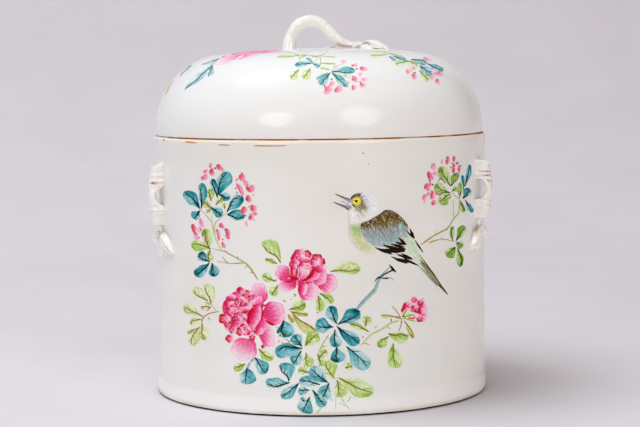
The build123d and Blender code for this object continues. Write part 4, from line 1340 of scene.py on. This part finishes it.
bird = {   # at zoom times the size, from the corner
    "corner": (326, 185),
    "patches": (   # first edge, second edge, colours between them, density, fade at the edges, colour they start from
        ((274, 440, 268, 520, 276, 600, 308, 690, 380, 775, 495, 850),
         (450, 430, 478, 520, 510, 610, 560, 690, 610, 750, 620, 820),
         ((0, (198, 206, 150)), (0.5, (206, 212, 166)), (1, (222, 224, 198))), 1, 0.8, (154, 190, 108)),
        ((268, 306, 276, 350, 278, 400, 280, 466), (362, 310, 378, 370, 400, 415, 412, 452),
         ((0, (228, 228, 238)), (0.4, (244, 244, 252)), (1, (226, 228, 238))), 0.85, 0.9),
        ((930, 500, 1010, 570, 1066, 660, 1106, 770, 1150, 890, 1200, 990),
         (850, 600, 900, 700, 946, 800, 1030, 890, 1100, 950, 1190, 1010),
         ((0, (196, 220, 200)), (0.4, (206, 224, 196)), (1, (214, 226, 206))), 0.95, 0.5),
        ((400, 100, 470, 90, 560, 120, 625, 190, 632, 280, 610, 360),
         (430, 150, 470, 190, 500, 240, 510, 300, 480, 380, 400, 430),
         ((0, (236, 238, 242)), (0.6, (238, 240, 246)), (1, (196, 212, 220))), 0.75, 0.8),
        ((412, 516, 420, 460, 500, 428, 570, 388, 640, 348, 700, 302, 770, 300, 845, 335, 905, 388, 950, 445, 990,
          505),
         (412, 540, 440, 606, 474, 654, 532, 704, 612, 738, 700, 744, 780, 735, 850, 706, 892, 645, 935, 570, 990,
          512),
         ((0, (74, 48, 10)), (0.2, (106, 78, 28)), (0.36, (126, 108, 62)), (0.5, (124, 138, 130)),
          (0.7, (150, 166, 172)), (0.88, (156, 190, 196)), (1, (172, 208, 212))),
         1, 0.25),
        ((880, 450, 930, 440, 970, 470, 990, 510), (870, 560, 900, 590, 940, 580, 985, 530),
         ((0, (84, 160, 166)), (0.5, (120, 180, 186)), (1, (160, 204, 196))), 0.8, 0.7),
        ((286, 158, 318, 118, 384, 90, 440, 112, 474, 176, 502, 240, 514, 300),
         (290, 190, 300, 240, 330, 296, 372, 346, 412, 390, 440, 400, 490, 370),
         ((0, (106, 92, 60)), (0.35, (134, 116, 80)), (0.7, (164, 150, 118)), (1, (192, 188, 172))), 1, 0.95),
        ((286, 170, 312, 128, 370, 98, 420, 108), (302, 184, 320, 160, 372, 138, 412, 150),
         ((0, (70, 52, 20)), (0.6, (96, 78, 38)), (1, (124, 104, 60))), 0.95, 0.3),
        ((302, 232, 318, 250, 336, 266), (330, 222, 346, 244, 364, 282), ((0, (52, 40, 20)), (1, (96, 82, 50))), 0.9,
         0.5),
        ((424, 296, 450, 300, 480, 320), (432, 340, 452, 362, 492, 356), ((0, (190, 216, 142)), (1, (206, 226, 170))),
         0.8, 0.8),
    ),
    "wing": 4,
    "tail": (   # start, end, width, colour
        (1100, 960, 1340, 1214, 34, (176, 186, 166)), (1130, 930, 1360, 1200, 40, (150, 156, 122)),
        (1120, 836, 1452, 1308, 22, (86, 70, 20)), (1130, 900, 1440, 1290, 36, (108, 92, 40)),
        (1150, 930, 1400, 1240, 30, (124, 112, 64)), (1150, 1000, 1330, 1215, 16, (124, 148, 140)),
        (1140, 880, 1260, 1040, 18, (150, 150, 90)), (1180, 960, 1445, 1296, 22, (58, 40, 8)),
        (1190, 990, 1400, 1230, 12, (40, 26, 4)), (1210, 1080, 1340, 1220, 10, (96, 120, 112)),
        (1120, 830, 1200, 970, 12, (160, 166, 110)), (1080, 950, 1250, 1120, 10, (190, 198, 180)),
        (1200, 1040, 1440, 1300, 16, (96, 104, 88)), (1230, 1040, 1462, 1318, 30, (56, 44, 16)),
        (1280, 1130, 1456, 1314, 20, (26, 18, 6)), (1150, 960, 1300, 1150, 8, (70, 60, 30)),
    ),
    "feathers": (   # dark flight feathers: start, end, width
        (580, 745, 800, 832, 36), (640, 768, 880, 800, 48), (676, 718, 940, 792, 50), (720, 772, 950, 792, 56),
        (776, 708, 945, 745, 38), (826, 684, 965, 716, 32), (866, 628, 962, 712, 36), (740, 800, 950, 790, 40),
        (840, 760, 960, 770, 46), (778, 856, 978, 942, 34), (846, 830, 1042, 892, 38), (896, 818, 1030, 880, 32),
        (930, 876, 1112, 968, 30), (870, 880, 1010, 926, 34), (958, 540, 1052, 640, 22), (1000, 520, 1062, 645, 34),
        (1030, 590, 1056, 640, 30), (1064, 656, 1168, 812, 22), (868, 896, 1000, 930, 28),
    ),
    "bill": (   # start, end, width, sag
        (304, 202, 108, 108, 40, -4), (306, 272, 88, 204, 50, 10),
    ),
    "lines": (   # beak and eye: path, start, middle, end width, colour, density, over
        ((290, 172, 200, 142, 112, 106), 12, 13, 8, (70, 66, 74), 0.9, 0.1),
        ((276, 300, 190, 246, 90, 206), 22, 13, 10, (56, 46, 50), 0.9, 0.1),
        ((292, 236, 230, 206, 165, 180), 26, 24, 6, (244, 234, 234), 1.1, 0.09),
        ((168, 192, 220, 206, 276, 238), 5, 9, 7, (222, 96, 70), 0.95, 0.12),
        ((190, 200, 236, 212, 270, 226), 5, 9, 7, (222, 96, 70), 0.95, 0.12),
        ((330, 222, 360, 234, 396, 222), 4, 12, 4, (206, 184, 12), 0.8, 0.12),
        ((344, 188, 330, 182, 318, 180), 8, 6, 4, (90, 76, 20), 0.8, 0.13),
    ),
    "eye": (   # place, radius, colour, density, height to width, over
        (364, 196, 54, (96, 80, 30), 1.0, 1.0, 0.09), (366, 197, 50, (240, 226, 24), 1.1, 0.98, 0.11),
        (362, 193, 17, (8, 6, 0), 1.2, 0.9, 0.14),
    ),
    "breast": (272, 318, 274, 460, 280, 600, 340, 720, 430, 800),
    "claws": (   # path, start, middle, end width
        ((760, 955, 795, 1000, 815, 1030), 8, 30, 30), ((840, 1042, 800, 1024, 720, 1062, 640, 1106), 20, 16, 12),
        ((650, 1100, 610, 1125, 580, 1166), 20, 14, 4), ((640, 1108, 690, 1120, 745, 1118), 14, 12, 24),
        ((745, 1120, 780, 1115, 820, 1150), 8, 5, 2),
    ),
    "streaks": 190,
    "mottles": 230,
    "headStrokes": 80, "headTop": 95,
    "head": (300, 190, 190, 200),   # where its feathers start, their reach across and down
    "eyeClear": (365, 196, 3900),   # place and squared radius that they leave free
    "browns": ((36, 22, 2), (64, 42, 8), (92, 66, 22), (128, 100, 50), (50, 32, 4), (158, 136, 88), (190, 172, 124)),
    "greys": (
        (110, 134, 138), (88, 120, 126), (170, 168, 178), (146, 142, 134), (98, 150, 158), (122, 112, 90),
        (184, 196, 202),
    ),
    "headTones": ((0.7, (92, 74, 40)), (0.9, (150, 140, 118)), (1.0, (168, 188, 198))),
    "sheen": (66, 142, 150),
    "billTones": ((158, 164, 196), (112, 110, 120)),
    "featherTones": ((44, 28, 12), (30, 18, 6)),
    "breastTone": (184, 166, 128),
}


def named(rows):
    for row in rows:
        if isinstance(row, str):
            name = row
        else:
            yield name, row


def drawSpray(batch, spray, swap=None, soft=False):
    # swap names other enamels; soft is the thinner painting of the lid
    swap = swap or {}
    for name, (path, start, end) in named(spray["stems"]):
        stroke(batch, path, start, end, tint(*ink[name]), 0.9)
    for tone, (x0, y0, x1, y1, width, rib, dark) in named(spray["leaves"]):
        small, width = width < brush["oneVein"], width * (1.0 if soft else brush["leafGrow"])
        veins = 0 if width < brush["noVein"] else 1 if small else 3
        bend = rng.uniform(-0.05, 0.05)
        if abs(rib) > brush["halfLeaf"]:   # half leaves swell away from their rib
            bend -= 0.4 * rib * width / hypot(x1 - x0, y1 - y0)
        leafPaint(batch, (x0, y0), (x1, y1), width, swap.get(tone, tone), rib, dark, bend, veins)
    for x, y, across, down, tilt, deep, toward in spray.get("blossoms", ()):
        load, grow = deep * (0.8 if soft else 1), brush["blossomGrow"]
        dab(batch, (x, y), across * grow, down * grow, tilt, swap.get("pink", "pink"), load, toward)
        if deep > (0.65 if soft else 0.7):   # the bud's red heart, stamens at its foot
            heart(batch, x, y, across, down, tilt, toward, 0.3, (0.55, 0.5), deep * (0.4 if soft else 1), 0.9)
            for turn in radians(toward + tilt) + rng.uniform(-0.9, 0.9, 2):
                foot = (x + 1.05 * across * cos(turn), y + 1.05 * down * sin(turn))
                spot(batch, *foot, 0.55, ink[("seed", "orange")[rng.integers(2)]])
    for name, (x, y) in named(spray["seeds"]):
        spot(batch, x, y, rng.uniform(0.6, 0.9), ink[name])


def drawPeony(batch, petals, touches=(), strength=1.0):
    # washes first, then the small petals' lines; below full strength the large ones have lines too
    lines, full = [], strength == 1
    for x, y, across, down, tilt, deep, toward, pale in petals:
        large = across * down > brush["largePetal"]
        grow, ruffle, size, fade = (1, 0.05, 21, 0) if large else (1.08, 0.10, 13, 0.3)
        load = strength * (deep + 0.1 if large else 1.25 * deep + 0.22)
        form = ((x, y), across * grow, down * grow, tilt, toward, ruffle)
        rim = 0.1 if large else 0.5 * strength
        turn = petal(batch, *form, load, pale + 0.5 * (1 - strength) + fade, rim, size)
        if not (large and full):
            lines.append((*form, turn, 3 if full else 1))
            if full and deep > 0.7:
                heart(batch, x, y, across, down, tilt, toward, 0.4, (0.5, 0.5), 0.9, 1.2)
    for line in lines:
        petalLines(batch, *line)
    tones = shades("rose")
    for name, (path, start, middle, end) in named(touches):
        edge = tones[2 if name == "deep" else 1]
        stroke(batch, path, start, end, tint(*ink[name]), 1.2, middle, over=0.01, edge=edge)


def drawCalyx(batch):
    for x0, y0, x1, y1, width in budFlower["calyx"]:
        leafPaint(batch, (x0, y0), (x1, y1), width, "green", 0.0, 0.3, 0.0, 0)


def between(x0, y0, x1, y1, sag):
    return x0, y0, (x0 + x1) / 2, (y0 + y1) / 2 + sag, x1, y1


def drawBird(batch):
    for wash in bird["patches"]:
        patch(batch, *wash)
    for *ends, width, tone in bird["tail"]:
        tone = tint(*tone)
        stroke(batch, between(*ends, -8), width * 0.4, width * 0.3, tone, 1.0, width, edge=tone)
    upper, lower = (smoothPath(edge, 200) for edge in bird["patches"][bird["wing"]][:2])
    for number in range(bird["streaks"] + bird["mottles"]):
        # fine streaks down the wing, then short mottled touches along its shoulder
        streak = number < bird["streaks"]
        s, t = rng.integers(10, 188), rng.uniform(0.3, 0.92) if streak else abs(rng.normal(0, 0.15)) + 0.01
        length = rng.uniform(40, 84) if streak else rng.uniform(14, 36)
        tones = bird["greys"] if streak else bird["browns"] if t < 0.2 else bird["browns"][2:]
        tone = bird["sheen"] if streak and s > 150 and t < 0.6 else tones[rng.integers(len(tones))]
        path = upper[s] * (1 - t) + lower[s] * t + length * np.array(((0, 0), (0.3, 0.5), (0.5, 1.0)))
        density, over, wide = (0.7, 0.05, (6, 11)) if streak else (0.95, 0.07, (9, 16))
        stroke(batch, path, 4, 3, tint(*tone), density, rng.uniform(*wide), over=over)
    (headX, headY, wide, tall), (eyeX, eyeY, clear) = bird["head"], bird["eyeClear"]
    for _ in range(bird["headStrokes"]):   # head and neck feathers, swept back from the beak, clear of the eye
        angle, reach = rng.uniform(-0.95, 1.15), rng.uniform(0.25, 1.0)
        x, y = headX + wide * reach * cos(angle), headY + tall * reach * sin(angle)
        if (x - eyeX) ** 2 + (y - eyeY) ** 2 < clear or y < bird["headTop"]:
            continue
        length = rng.uniform(18, 46)
        tone = next(tone for end, tone in bird["headTones"] if reach < end)
        path = (x, y, x + length * cos(angle), y + length * sin(angle))
        stroke(batch, path, 4, 2, tint(*tone), 0.75, rng.uniform(5, 9))
    root, tip = (tint(*tone) for tone in bird["billTones"])
    for *ends, wide, sag in bird["bill"]:
        stroke(batch, between(*ends, sag), wide, 10, root, 1.0, wide * 0.6, tip, 0.08, 0.0)
    for path, start, middle, end, tone, density, over in bird["lines"]:
        stroke(batch, path, start, end, tint(*tone), density, middle, over=over)
    for ring in bird["eye"]:
        spot(batch, *ring)
    dark, edge = (tint(*tone) for tone in bird["featherTones"])
    for *ends, width in bird["feathers"]:
        stroke(batch, between(*ends, 4), width * 0.22, width * 0.35, dark, 1.1, width, over=0.08, edge=edge)
    stroke(batch, bird["breast"], 6, 3, tint(*bird["breastTone"]), 0.75, 6)
    for path, start, middle, end in bird["claws"]:
        stroke(batch, path, start, end, tint(*ink["black"]), 1.1, middle, over=0.12)


branch = {
    "path": ((390.5, 266.0), (384.6, 272.8), (379.0, 280.2), (374.6, 290.2), (366.4, 298.4), (356.6, 309.2)),
    "start": 1.4, "middle": 3.2, "end": 4.4,              # widths
    "bark": ((1.0, 1.1), (-1.0, 0.7), (0.2, 0.5)),        # aside, width
}


def drawBranch(batch):
    stroke(batch, branch["path"], branch["start"], branch["end"], tint(*ink["branch"]), 0.9, branch["middle"],
           rough=0.16)
    for aside, wide in branch["bark"]:   # along both sides
        bark = [(x + 0.8 * aside + rng.uniform(-0.3, 0.3), y + 0.75 * aside) for x, y in branch["path"][1:]]
        stroke(batch, bark, 0.5, wide, tint(*ink["branchShade"]), 0.95, wide, rough=0.3)


def drawRim(batch):
    # glaze fired thin at the rim, and a few specks
    for path in rimMarks:
        stroke(batch, path, 1.5, 1.0, tint(*ink["ochre"]), 0.7, 1.7)
        stroke(batch, path, 0.7, 0.3, tint(*ink["scorch"]), 0.85, 0.8, over=0.08)


peonies = ((drawPeony, largePeony), (drawPeony, smallPeony, peonyTouches))
paintPiece("leftSprayPaint", "jar", frontCanvas, (drawSpray, leftSpray))
paintPiece("rightSprayPaint", "jar", frontCanvas, (drawSpray, rightSpray))
paintPiece("sprigPaint", "jar", frontCanvas, (drawSpray, lowSprig, {"green": "sage"}), (drawRim,))
paintPiece("lowSprayPaint", "jar", frontCanvas, (drawBranch,), (drawSpray, lowSprays))
paintPiece("peonyPaint", "jar", frontCanvas, *peonies, corner=peonyCorner)
paintPiece("budPaint", "jar", frontCanvas, (drawPeony, budFlower["petals"]), (drawCalyx,), corner=budFlower["corner"])
paintPiece("birdPaint", "jar", frontCanvas, (drawBird,), corner=bird["corner"])
print("stage: front painting")

lidSprays = {
    "stems": (
        "stem", ((299.2, 54.8, 309, 55, 319.2, 55.7, 329, 50.7), 0.7, 0.5),
        ((320, 56.5, 320.6, 61, 320.4, 65.7), 0.8, 0.6),
        "youngStem", ((319, 56.5, 316, 60, 313.3, 63), 0.8, 0.6), ((331, 71, 337, 66, 345, 63), 0.6, 0.4),
        ((331, 72, 344, 76, 355, 79), 0.7, 0.5),
        "stem", ((387, 53, 398, 56, 408, 61, 418, 67), 0.7, 0.6),
        "youngStem", ((408, 61, 410, 68, 413, 74), 0.6, 0.5), ((418.7, 67, 428, 71, 437, 76), 0.6, 0.5),
        "stem", ((219, 58, 214, 63, 209, 68), 0.8, 0.6),
        "youngStem", ((299, 55, 300, 62, 299, 69), 0.7, 0.6),
    ),
    "leaves": (
        "mist", (219.5, 58.5, 200.5, 65, 4.4, 0, 0.7), (213.5, 65, 183.5, 90.4, 8, -0.3, 0.7),
        (212.8, 66.5, 208, 77, 7, 0.1, 0.8), (192.5, 65, 179.5, 77, 4.4, 0, 0.7),
        "olive", (172.6, 81, 165.4, 94.5, 1.6, 0, 0.4),
        "lime", (216, 54.6, 228, 52.6, 1.4, 0, 0.6),
        "green", (299.2, 54.8, 285, 51.9, 2, 0, 0.5), (299.2, 55.2, 276.7, 56.9, 4, 0.1, 0.5),
        (306, 55.5, 299, 58.6, 3.6, 0, 0.4), (320, 56, 311.5, 56.6, 2, 0, 0.4), (320.8, 56, 335.8, 57.2, 2.2, 0, 0.5),
        (321, 63.5, 336, 64, 3.4, 0.1, 0.4), (330, 70, 320, 68, 4, 0, 0.4), (299, 69.8, 291, 79.5, 8, 0.1, 0.35),
        (310.4, 68.6, 303, 79, 10, 0, 0.35),
        "teal", (312, 63.2, 294.6, 65.6, 5.6, 0, 0.6), (313, 62.8, 306, 58.2, 4, 0.1, 0.5),
        (312.5, 63.6, 320, 66, 5, 0, 0.6), (331.7, 71.5, 355.4, 71, 8, 0.5, 0.5),
        (330, 72.7, 319.6, 84.8, 9, 0, 0.55), (331.7, 72.7, 347.8, 86.6, 8, 0.1, 0.5),
        "blue", (328, 73, 316, 79, 3.6, 0, 0.2),
        "green", (387, 52.8, 369.5, 51, 2, 0, 0.5), (387, 54.4, 369.9, 56, 4, 0.1, 0.4),
        (387, 53.2, 403, 56.5, 1.8, 0, 0.5), (408, 61.5, 394.6, 64.6, 6.4, 0, 0.5), (408.7, 61, 419, 64, 8, 0.1, 0.4),
        (418.7, 70.7, 429, 80.8, 9, 0.1, 0.5),
        "teal", (389, 56.2, 396, 60.4, 3.8, 0, 0.6), (393, 55.8, 407, 61, 5, 0.1, 0.6),
        (411, 59.6, 427, 63, 6.4, -0.4, 0.6), (419.5, 65.7, 432, 74.6, 9.4, 0, 0.5),
        (427, 63.6, 443.4, 70.8, 6.6, 0.1, 0.6),
    ),
    "blossoms": (
        (344.2, 61.5, 3, 1.3, 0, 0.4, 200), (355, 65.2, 3, 1.6, 0, 0.7, 180), (363.8, 69, 3.6, 2.3, 0, 0.95, 200),
        (360.4, 74.4, 2.2, 1.8, 0, 0.35, 180), (355.4, 79.6, 3.2, 2.6, 0, 0.95, 200),
        (364.6, 79.4, 2.6, 2.2, 0, 0.4, 180), (362.9, 85.2, 2.6, 2.5, 0, 0.7, 200),
        (354.2, 87.3, 2.3, 2.8, 0, 0.7, 180), (328.3, 90.2, 4.4, 3.6, 0, 0.7, 210), (332, 84, 3.2, 2.2, 0, 0.6, 200),
        (338.8, 89, 4, 3.3, 0, 0.7, 180), (335.8, 67.3, 2, 1.6, 0, 0.3, 200), (427.8, 59.8, 4, 1.6, 25, 0.7, 200),
        (408.3, 71.5, 3, 2, 0, 0.6, 180), (413.7, 68.6, 2.2, 1.5, 0, 0.6, 200), (414.5, 76, 2.6, 2.8, 0, 0.8, 180),
        (433, 69, 2.6, 1.2, 25, 0.5, 200), (440.3, 74, 3.2, 2.4, 25, 0.8, 180), (435.8, 74, 2, 1.8, 0, 0.6, 200),
        (432, 77.3, 2.4, 2, 30, 0.6, 180), (437.8, 82, 2.6, 2.4, 30, 0.7, 200),
    ),
    "seeds": (
        "seed", (331.7, 79.4), (345.4, 75.7), (356.7, 69), "orange", (348.3, 82.3), "seed", (324.6, 85.7),
        (352.5, 76.5), (414.5, 73.2), (422, 64.4), "orange", (360, 82),
    ),
}
lidThin = {"teal": "aqua", "blue": "aqua", "green": "lime", "moss": "lime", "fern": "lime", "pink": "blush"}
lidWalk = {"start": 1340, "steps": 60, "pace": 0.9}   # mm along the ray, a little short of the lid
lidPlaces = {   # middle of the flat drawing, turn, way down from the top, growth
    "frontPeony": ((252.5, 324), -0.76, 80, 0.95), "backPeony": ((304, 273), pi - 0.02, 92),
    "backRight": ((444, 205), pi + 0.62, 104), "backLeft": ((228, 222), pi - 0.66, 104),
}


def lidSpot(x, y):
    # the ray walked up to the lid: crown and shoulder each tell how far away their own curve is
    ray = photoRay(x, y)
    ray = ray / np.linalg.norm(ray, axis=-1, keepdims=True)
    place = np.array(photoView["place"]) + lidWalk["start"] * ray
    for _ in range(lidWalk["steps"]):
        radius, height = np.hypot(place[..., 0], place[..., 1]), place[..., 2]
        aside, above = radius - lid["shoulderCentre"], height - lid["shoulderHeight"]
        over = height - lid["crownHeight"]
        lean, bend = np.arctan2(radius, over), np.arctan2(aside, above)
        onCrown = lean < lid["crownAngle"]
        far = np.where(onCrown, np.hypot(radius, over) - lid["crown"], np.hypot(aside, above) - lid["shoulder"])
        place = place + lidWalk["pace"] * far[..., None] * ray
    arc = np.where(onCrown, lean * lid["crown"], lid["crownArc"] + (bend - lid["crownAngle"]) * lid["shoulder"])
    return np.arctan2(place[..., 0], -place[..., 1]), arc


def lidCanvas(x, y, lift):
    return onLid(*lidSpot(x, y), lift)


def flatLid(middle, turn, arc, grow=1.0):
    # a flat drawing laid on the lid, its middle at the given turn and the given way down from the top
    def canvas(x, y, lift):
        size = grow * photoView["pixel"]
        down = arc + size * (y - middle[1])
        return onLid(turn + size * (x - middle[0]) / np.minimum(down, lid["radius"]), down, lift)
    return canvas


def drawLidBack(batch, spray, name):
    batch["canvas"] = flatLid(*lidPlaces[name])
    drawSpray(batch, spray, lidThin, True)


# the lid's front as in the photograph; its far half and the jar's back are guesses after the front
paintPiece("lidFrontPaint", "lid", lidCanvas, (drawSpray, lidSprays, lidThin, True))
paintPiece("lidFrontPeonyPaint", "lid", flatLid(*lidPlaces["frontPeony"]), (drawPeony, largePeony, (), 0.5),
           corner=peonyCorner)
paintPiece("lidBackPaint", "lid", lidCanvas, (drawLidBack, rightSpray, "backRight"),
           (drawLidBack, leftSpray, "backLeft"))
paintPiece("lidBackPeonyPaint", "lid", flatLid(*lidPlaces["backPeony"]), (drawPeony, smallPeony, (), 0.55),
           corner=peonyCorner)
paintPiece("backSprayPaint", "jar", backCanvas, (drawSpray, leftSpray), (drawSpray, rightSpray))
paintPiece("backLowPaint", "jar", backCanvas, (drawSpray, lowSprig), (drawSpray, lowSprays))
paintPiece("backPeonyPaint", "jar", backCanvas, *peonies, corner=peonyCorner)
print("stage: lid and back painting")

studio = {
    "near": (230, 224, 228), "far": (255, 249, 255),             # paper, painted paler towards the back
    "bounce": (252, 246, 247), "bounceFar": (214, 204, 204),     # the paper as the jar sees it: paler in front and darker at the back than it looks, painted light and shade on the jar
    "right": 0.06, "beyond": 0.3,                                # painted shade: darker to the right, and dark beyond the picture so the glaze reflects a dark room
    "paintedShadowPlace": (0.11, -0.06, 0.0), "paintedShadowLevel": 0.74,               # a painted shadow on the floor beside the foot
    "paleReach": (-0.1, 1.5), "rightReach": (-0.9, 0.9),         # metres over which each of these runs
    "paintedShadowReach": (-0.10, 0.22), "beyondReach": (1.1, 2.4),
    "bendStart": 0.9, "bend": 2.2, "wide": 5.0, "front": -3.0, "top": 4.0,   # metres
    "world": 0.525, "worldTone": (1.0, 0.98, 0.965), "worldRight": 0.6, "worldLeft": 0.80,
    "rightSpan": (0.45, 1.0), "leftSpan": (-1.0, -0.3),          # of the sky, -1 to 1 across
    "lamps": (   # name, place, aim, size, watts, tone, lights the matt surface, seen in the gloss
        ("overhead", (-0.53, -0.35, 1.84), (0.0, 0.0, 0.15), 1.3, 19.7, (0.85, 0.925, 1.0), True, False),
        ("topPanel", (-0.85, -0.09, 2.03), (0.0, 0.0, 0.2), 1.1, 3.0, (0.95, 0.975, 1.0), True, True),
        ("rightFill", (0.80, -1.80, 0.55), (0.0, 0.0, 0.1), 1.0, 6.1, (1.0, 0.86, 0.75), True, False),
        ("leftGleam", (-1.07, -1.90, 0.85), (0.0, 0.0, 0.2), 0.92, 8.0, (0.98, 0.99, 1.0), False, True),
        ("rightGleam", (0.97, -1.76, 0.91), (0.0, 0.0, 0.2), 1.08, 9.2, (1.0, 0.97, 0.95), False, True),
    ),
}


def buildStage():
    # a floor that curves up into a backdrop
    start, bend, side = studio["bendStart"], studio["bend"], np.linspace(-studio["wide"], studio["wide"], 5)
    lean = np.radians(np.linspace(0, 90, 24))
    depth = np.concatenate([[studio["front"], 0.6], start + bend * np.sin(lean), [start + bend]])[:, None]
    height = np.concatenate([[0, 0], bend * (1 - np.cos(lean)), [studio["top"]]])[:, None]
    points = np.stack([side + 0 * depth, depth + 0 * side, height + 0 * side], -1)
    faces = gridFaces(*points.shape[:2])
    mesh = makeMesh("sweep", points.reshape(-1, 3) / mm, faces, merge=False, sharp=60)
    material, tree, shader = startMaterial("sweepPaper")
    where = objectPlace(tree)
    split = splitNode(tree, where)
    back = rampNode(tree, split.outputs["Y"], *studio["paleReach"])
    away = node(tree, "ShaderNodeVectorMath", operation="DISTANCE")
    tree.links.new(where, away.inputs[0])
    away.inputs[1].default_value = studio["paintedShadowPlace"]
    shade = rampNode(tree, noiseNode(tree, where, 6.0, 4.0), 0.3, 0.7, 0.98, 1.02)
    # painted shade on the paper: darker to the right, a painted shadow beside the foot, dark beyond the picture
    for value, *ramp in ((split.outputs["X"], *studio["rightReach"], 1.0, 1.0 - studio["right"]),
                         (away.outputs["Value"], *studio["paintedShadowReach"], studio["paintedShadowLevel"], 1.0),
                         (split.outputs["X"], *studio["beyondReach"], 1.0, studio["beyond"])):
        shade = times(tree, shade, rampNode(tree, value, *ramp))
    # camera and gloss see the paper times its painted shade; other rays see the bounce colours, painted light on the
    # jar
    seen, bounce = (mixNode(tree, back, linear(*studio[near]), linear(*studio[far]))
                    for near, far in (("near", "far"), ("bounce", "bounceFar")))
    path = node(tree, "ShaderNodeLightPath")
    direct = mathNode(tree, "MAXIMUM", path.outputs["Is Camera Ray"], path.outputs["Is Glossy Ray"])
    color = mixNode(tree, direct, bounce, mixNode(tree, 1.0, seen, shade, "MULTIPLY"))
    settle(tree, shader, {"Base Color": color, "Roughness": 0.9, "Specular IOR Level": 0.1})
    sweep = bpy.data.objects.new("sweep", mesh)
    bpy.context.scene.collection.objects.link(sweep)
    mesh.materials.append(material)


def buildLight():
    # the room is darker at the right, a little at the left
    world = bpy.data.worlds.new("softRoom")
    bpy.context.scene.world = world
    world.use_nodes = True
    tree = world.node_tree
    back = tree.nodes["Background"]
    back.inputs["Color"].default_value = studio["worldTone"] + (1.0,)
    across = splitNode(tree, node(tree, "ShaderNodeTexCoord").outputs["Generated"]).outputs["X"]
    right = rampNode(tree, across, *studio["rightSpan"], studio["world"], studio["worldRight"] * studio["world"])
    left = rampNode(tree, across, *studio["leftSpan"], studio["worldLeft"], 1.0)
    tree.links.new(times(tree, right, left), back.inputs["Strength"])
    for name, place, aim, size, watts, tone, matt, glossy in studio["lamps"]:
        data = bpy.data.lights.new(name, "AREA")
        data.shape = "DISK"
        data.size, data.energy, data.color = size, watts, tone
        lamp = bpy.data.objects.new(name, data)
        bpy.context.scene.collection.objects.link(lamp)
        lamp.visible_diffuse, lamp.visible_glossy = matt, glossy
        lamp.location = place
        lamp.rotation_euler = (Vector(aim) - Vector(place)).to_track_quat("-Z", "Y").to_euler()


buildStage()
buildLight()
bpy.context.scene.view_settings.view_transform = "Standard"
print("stage: studio")
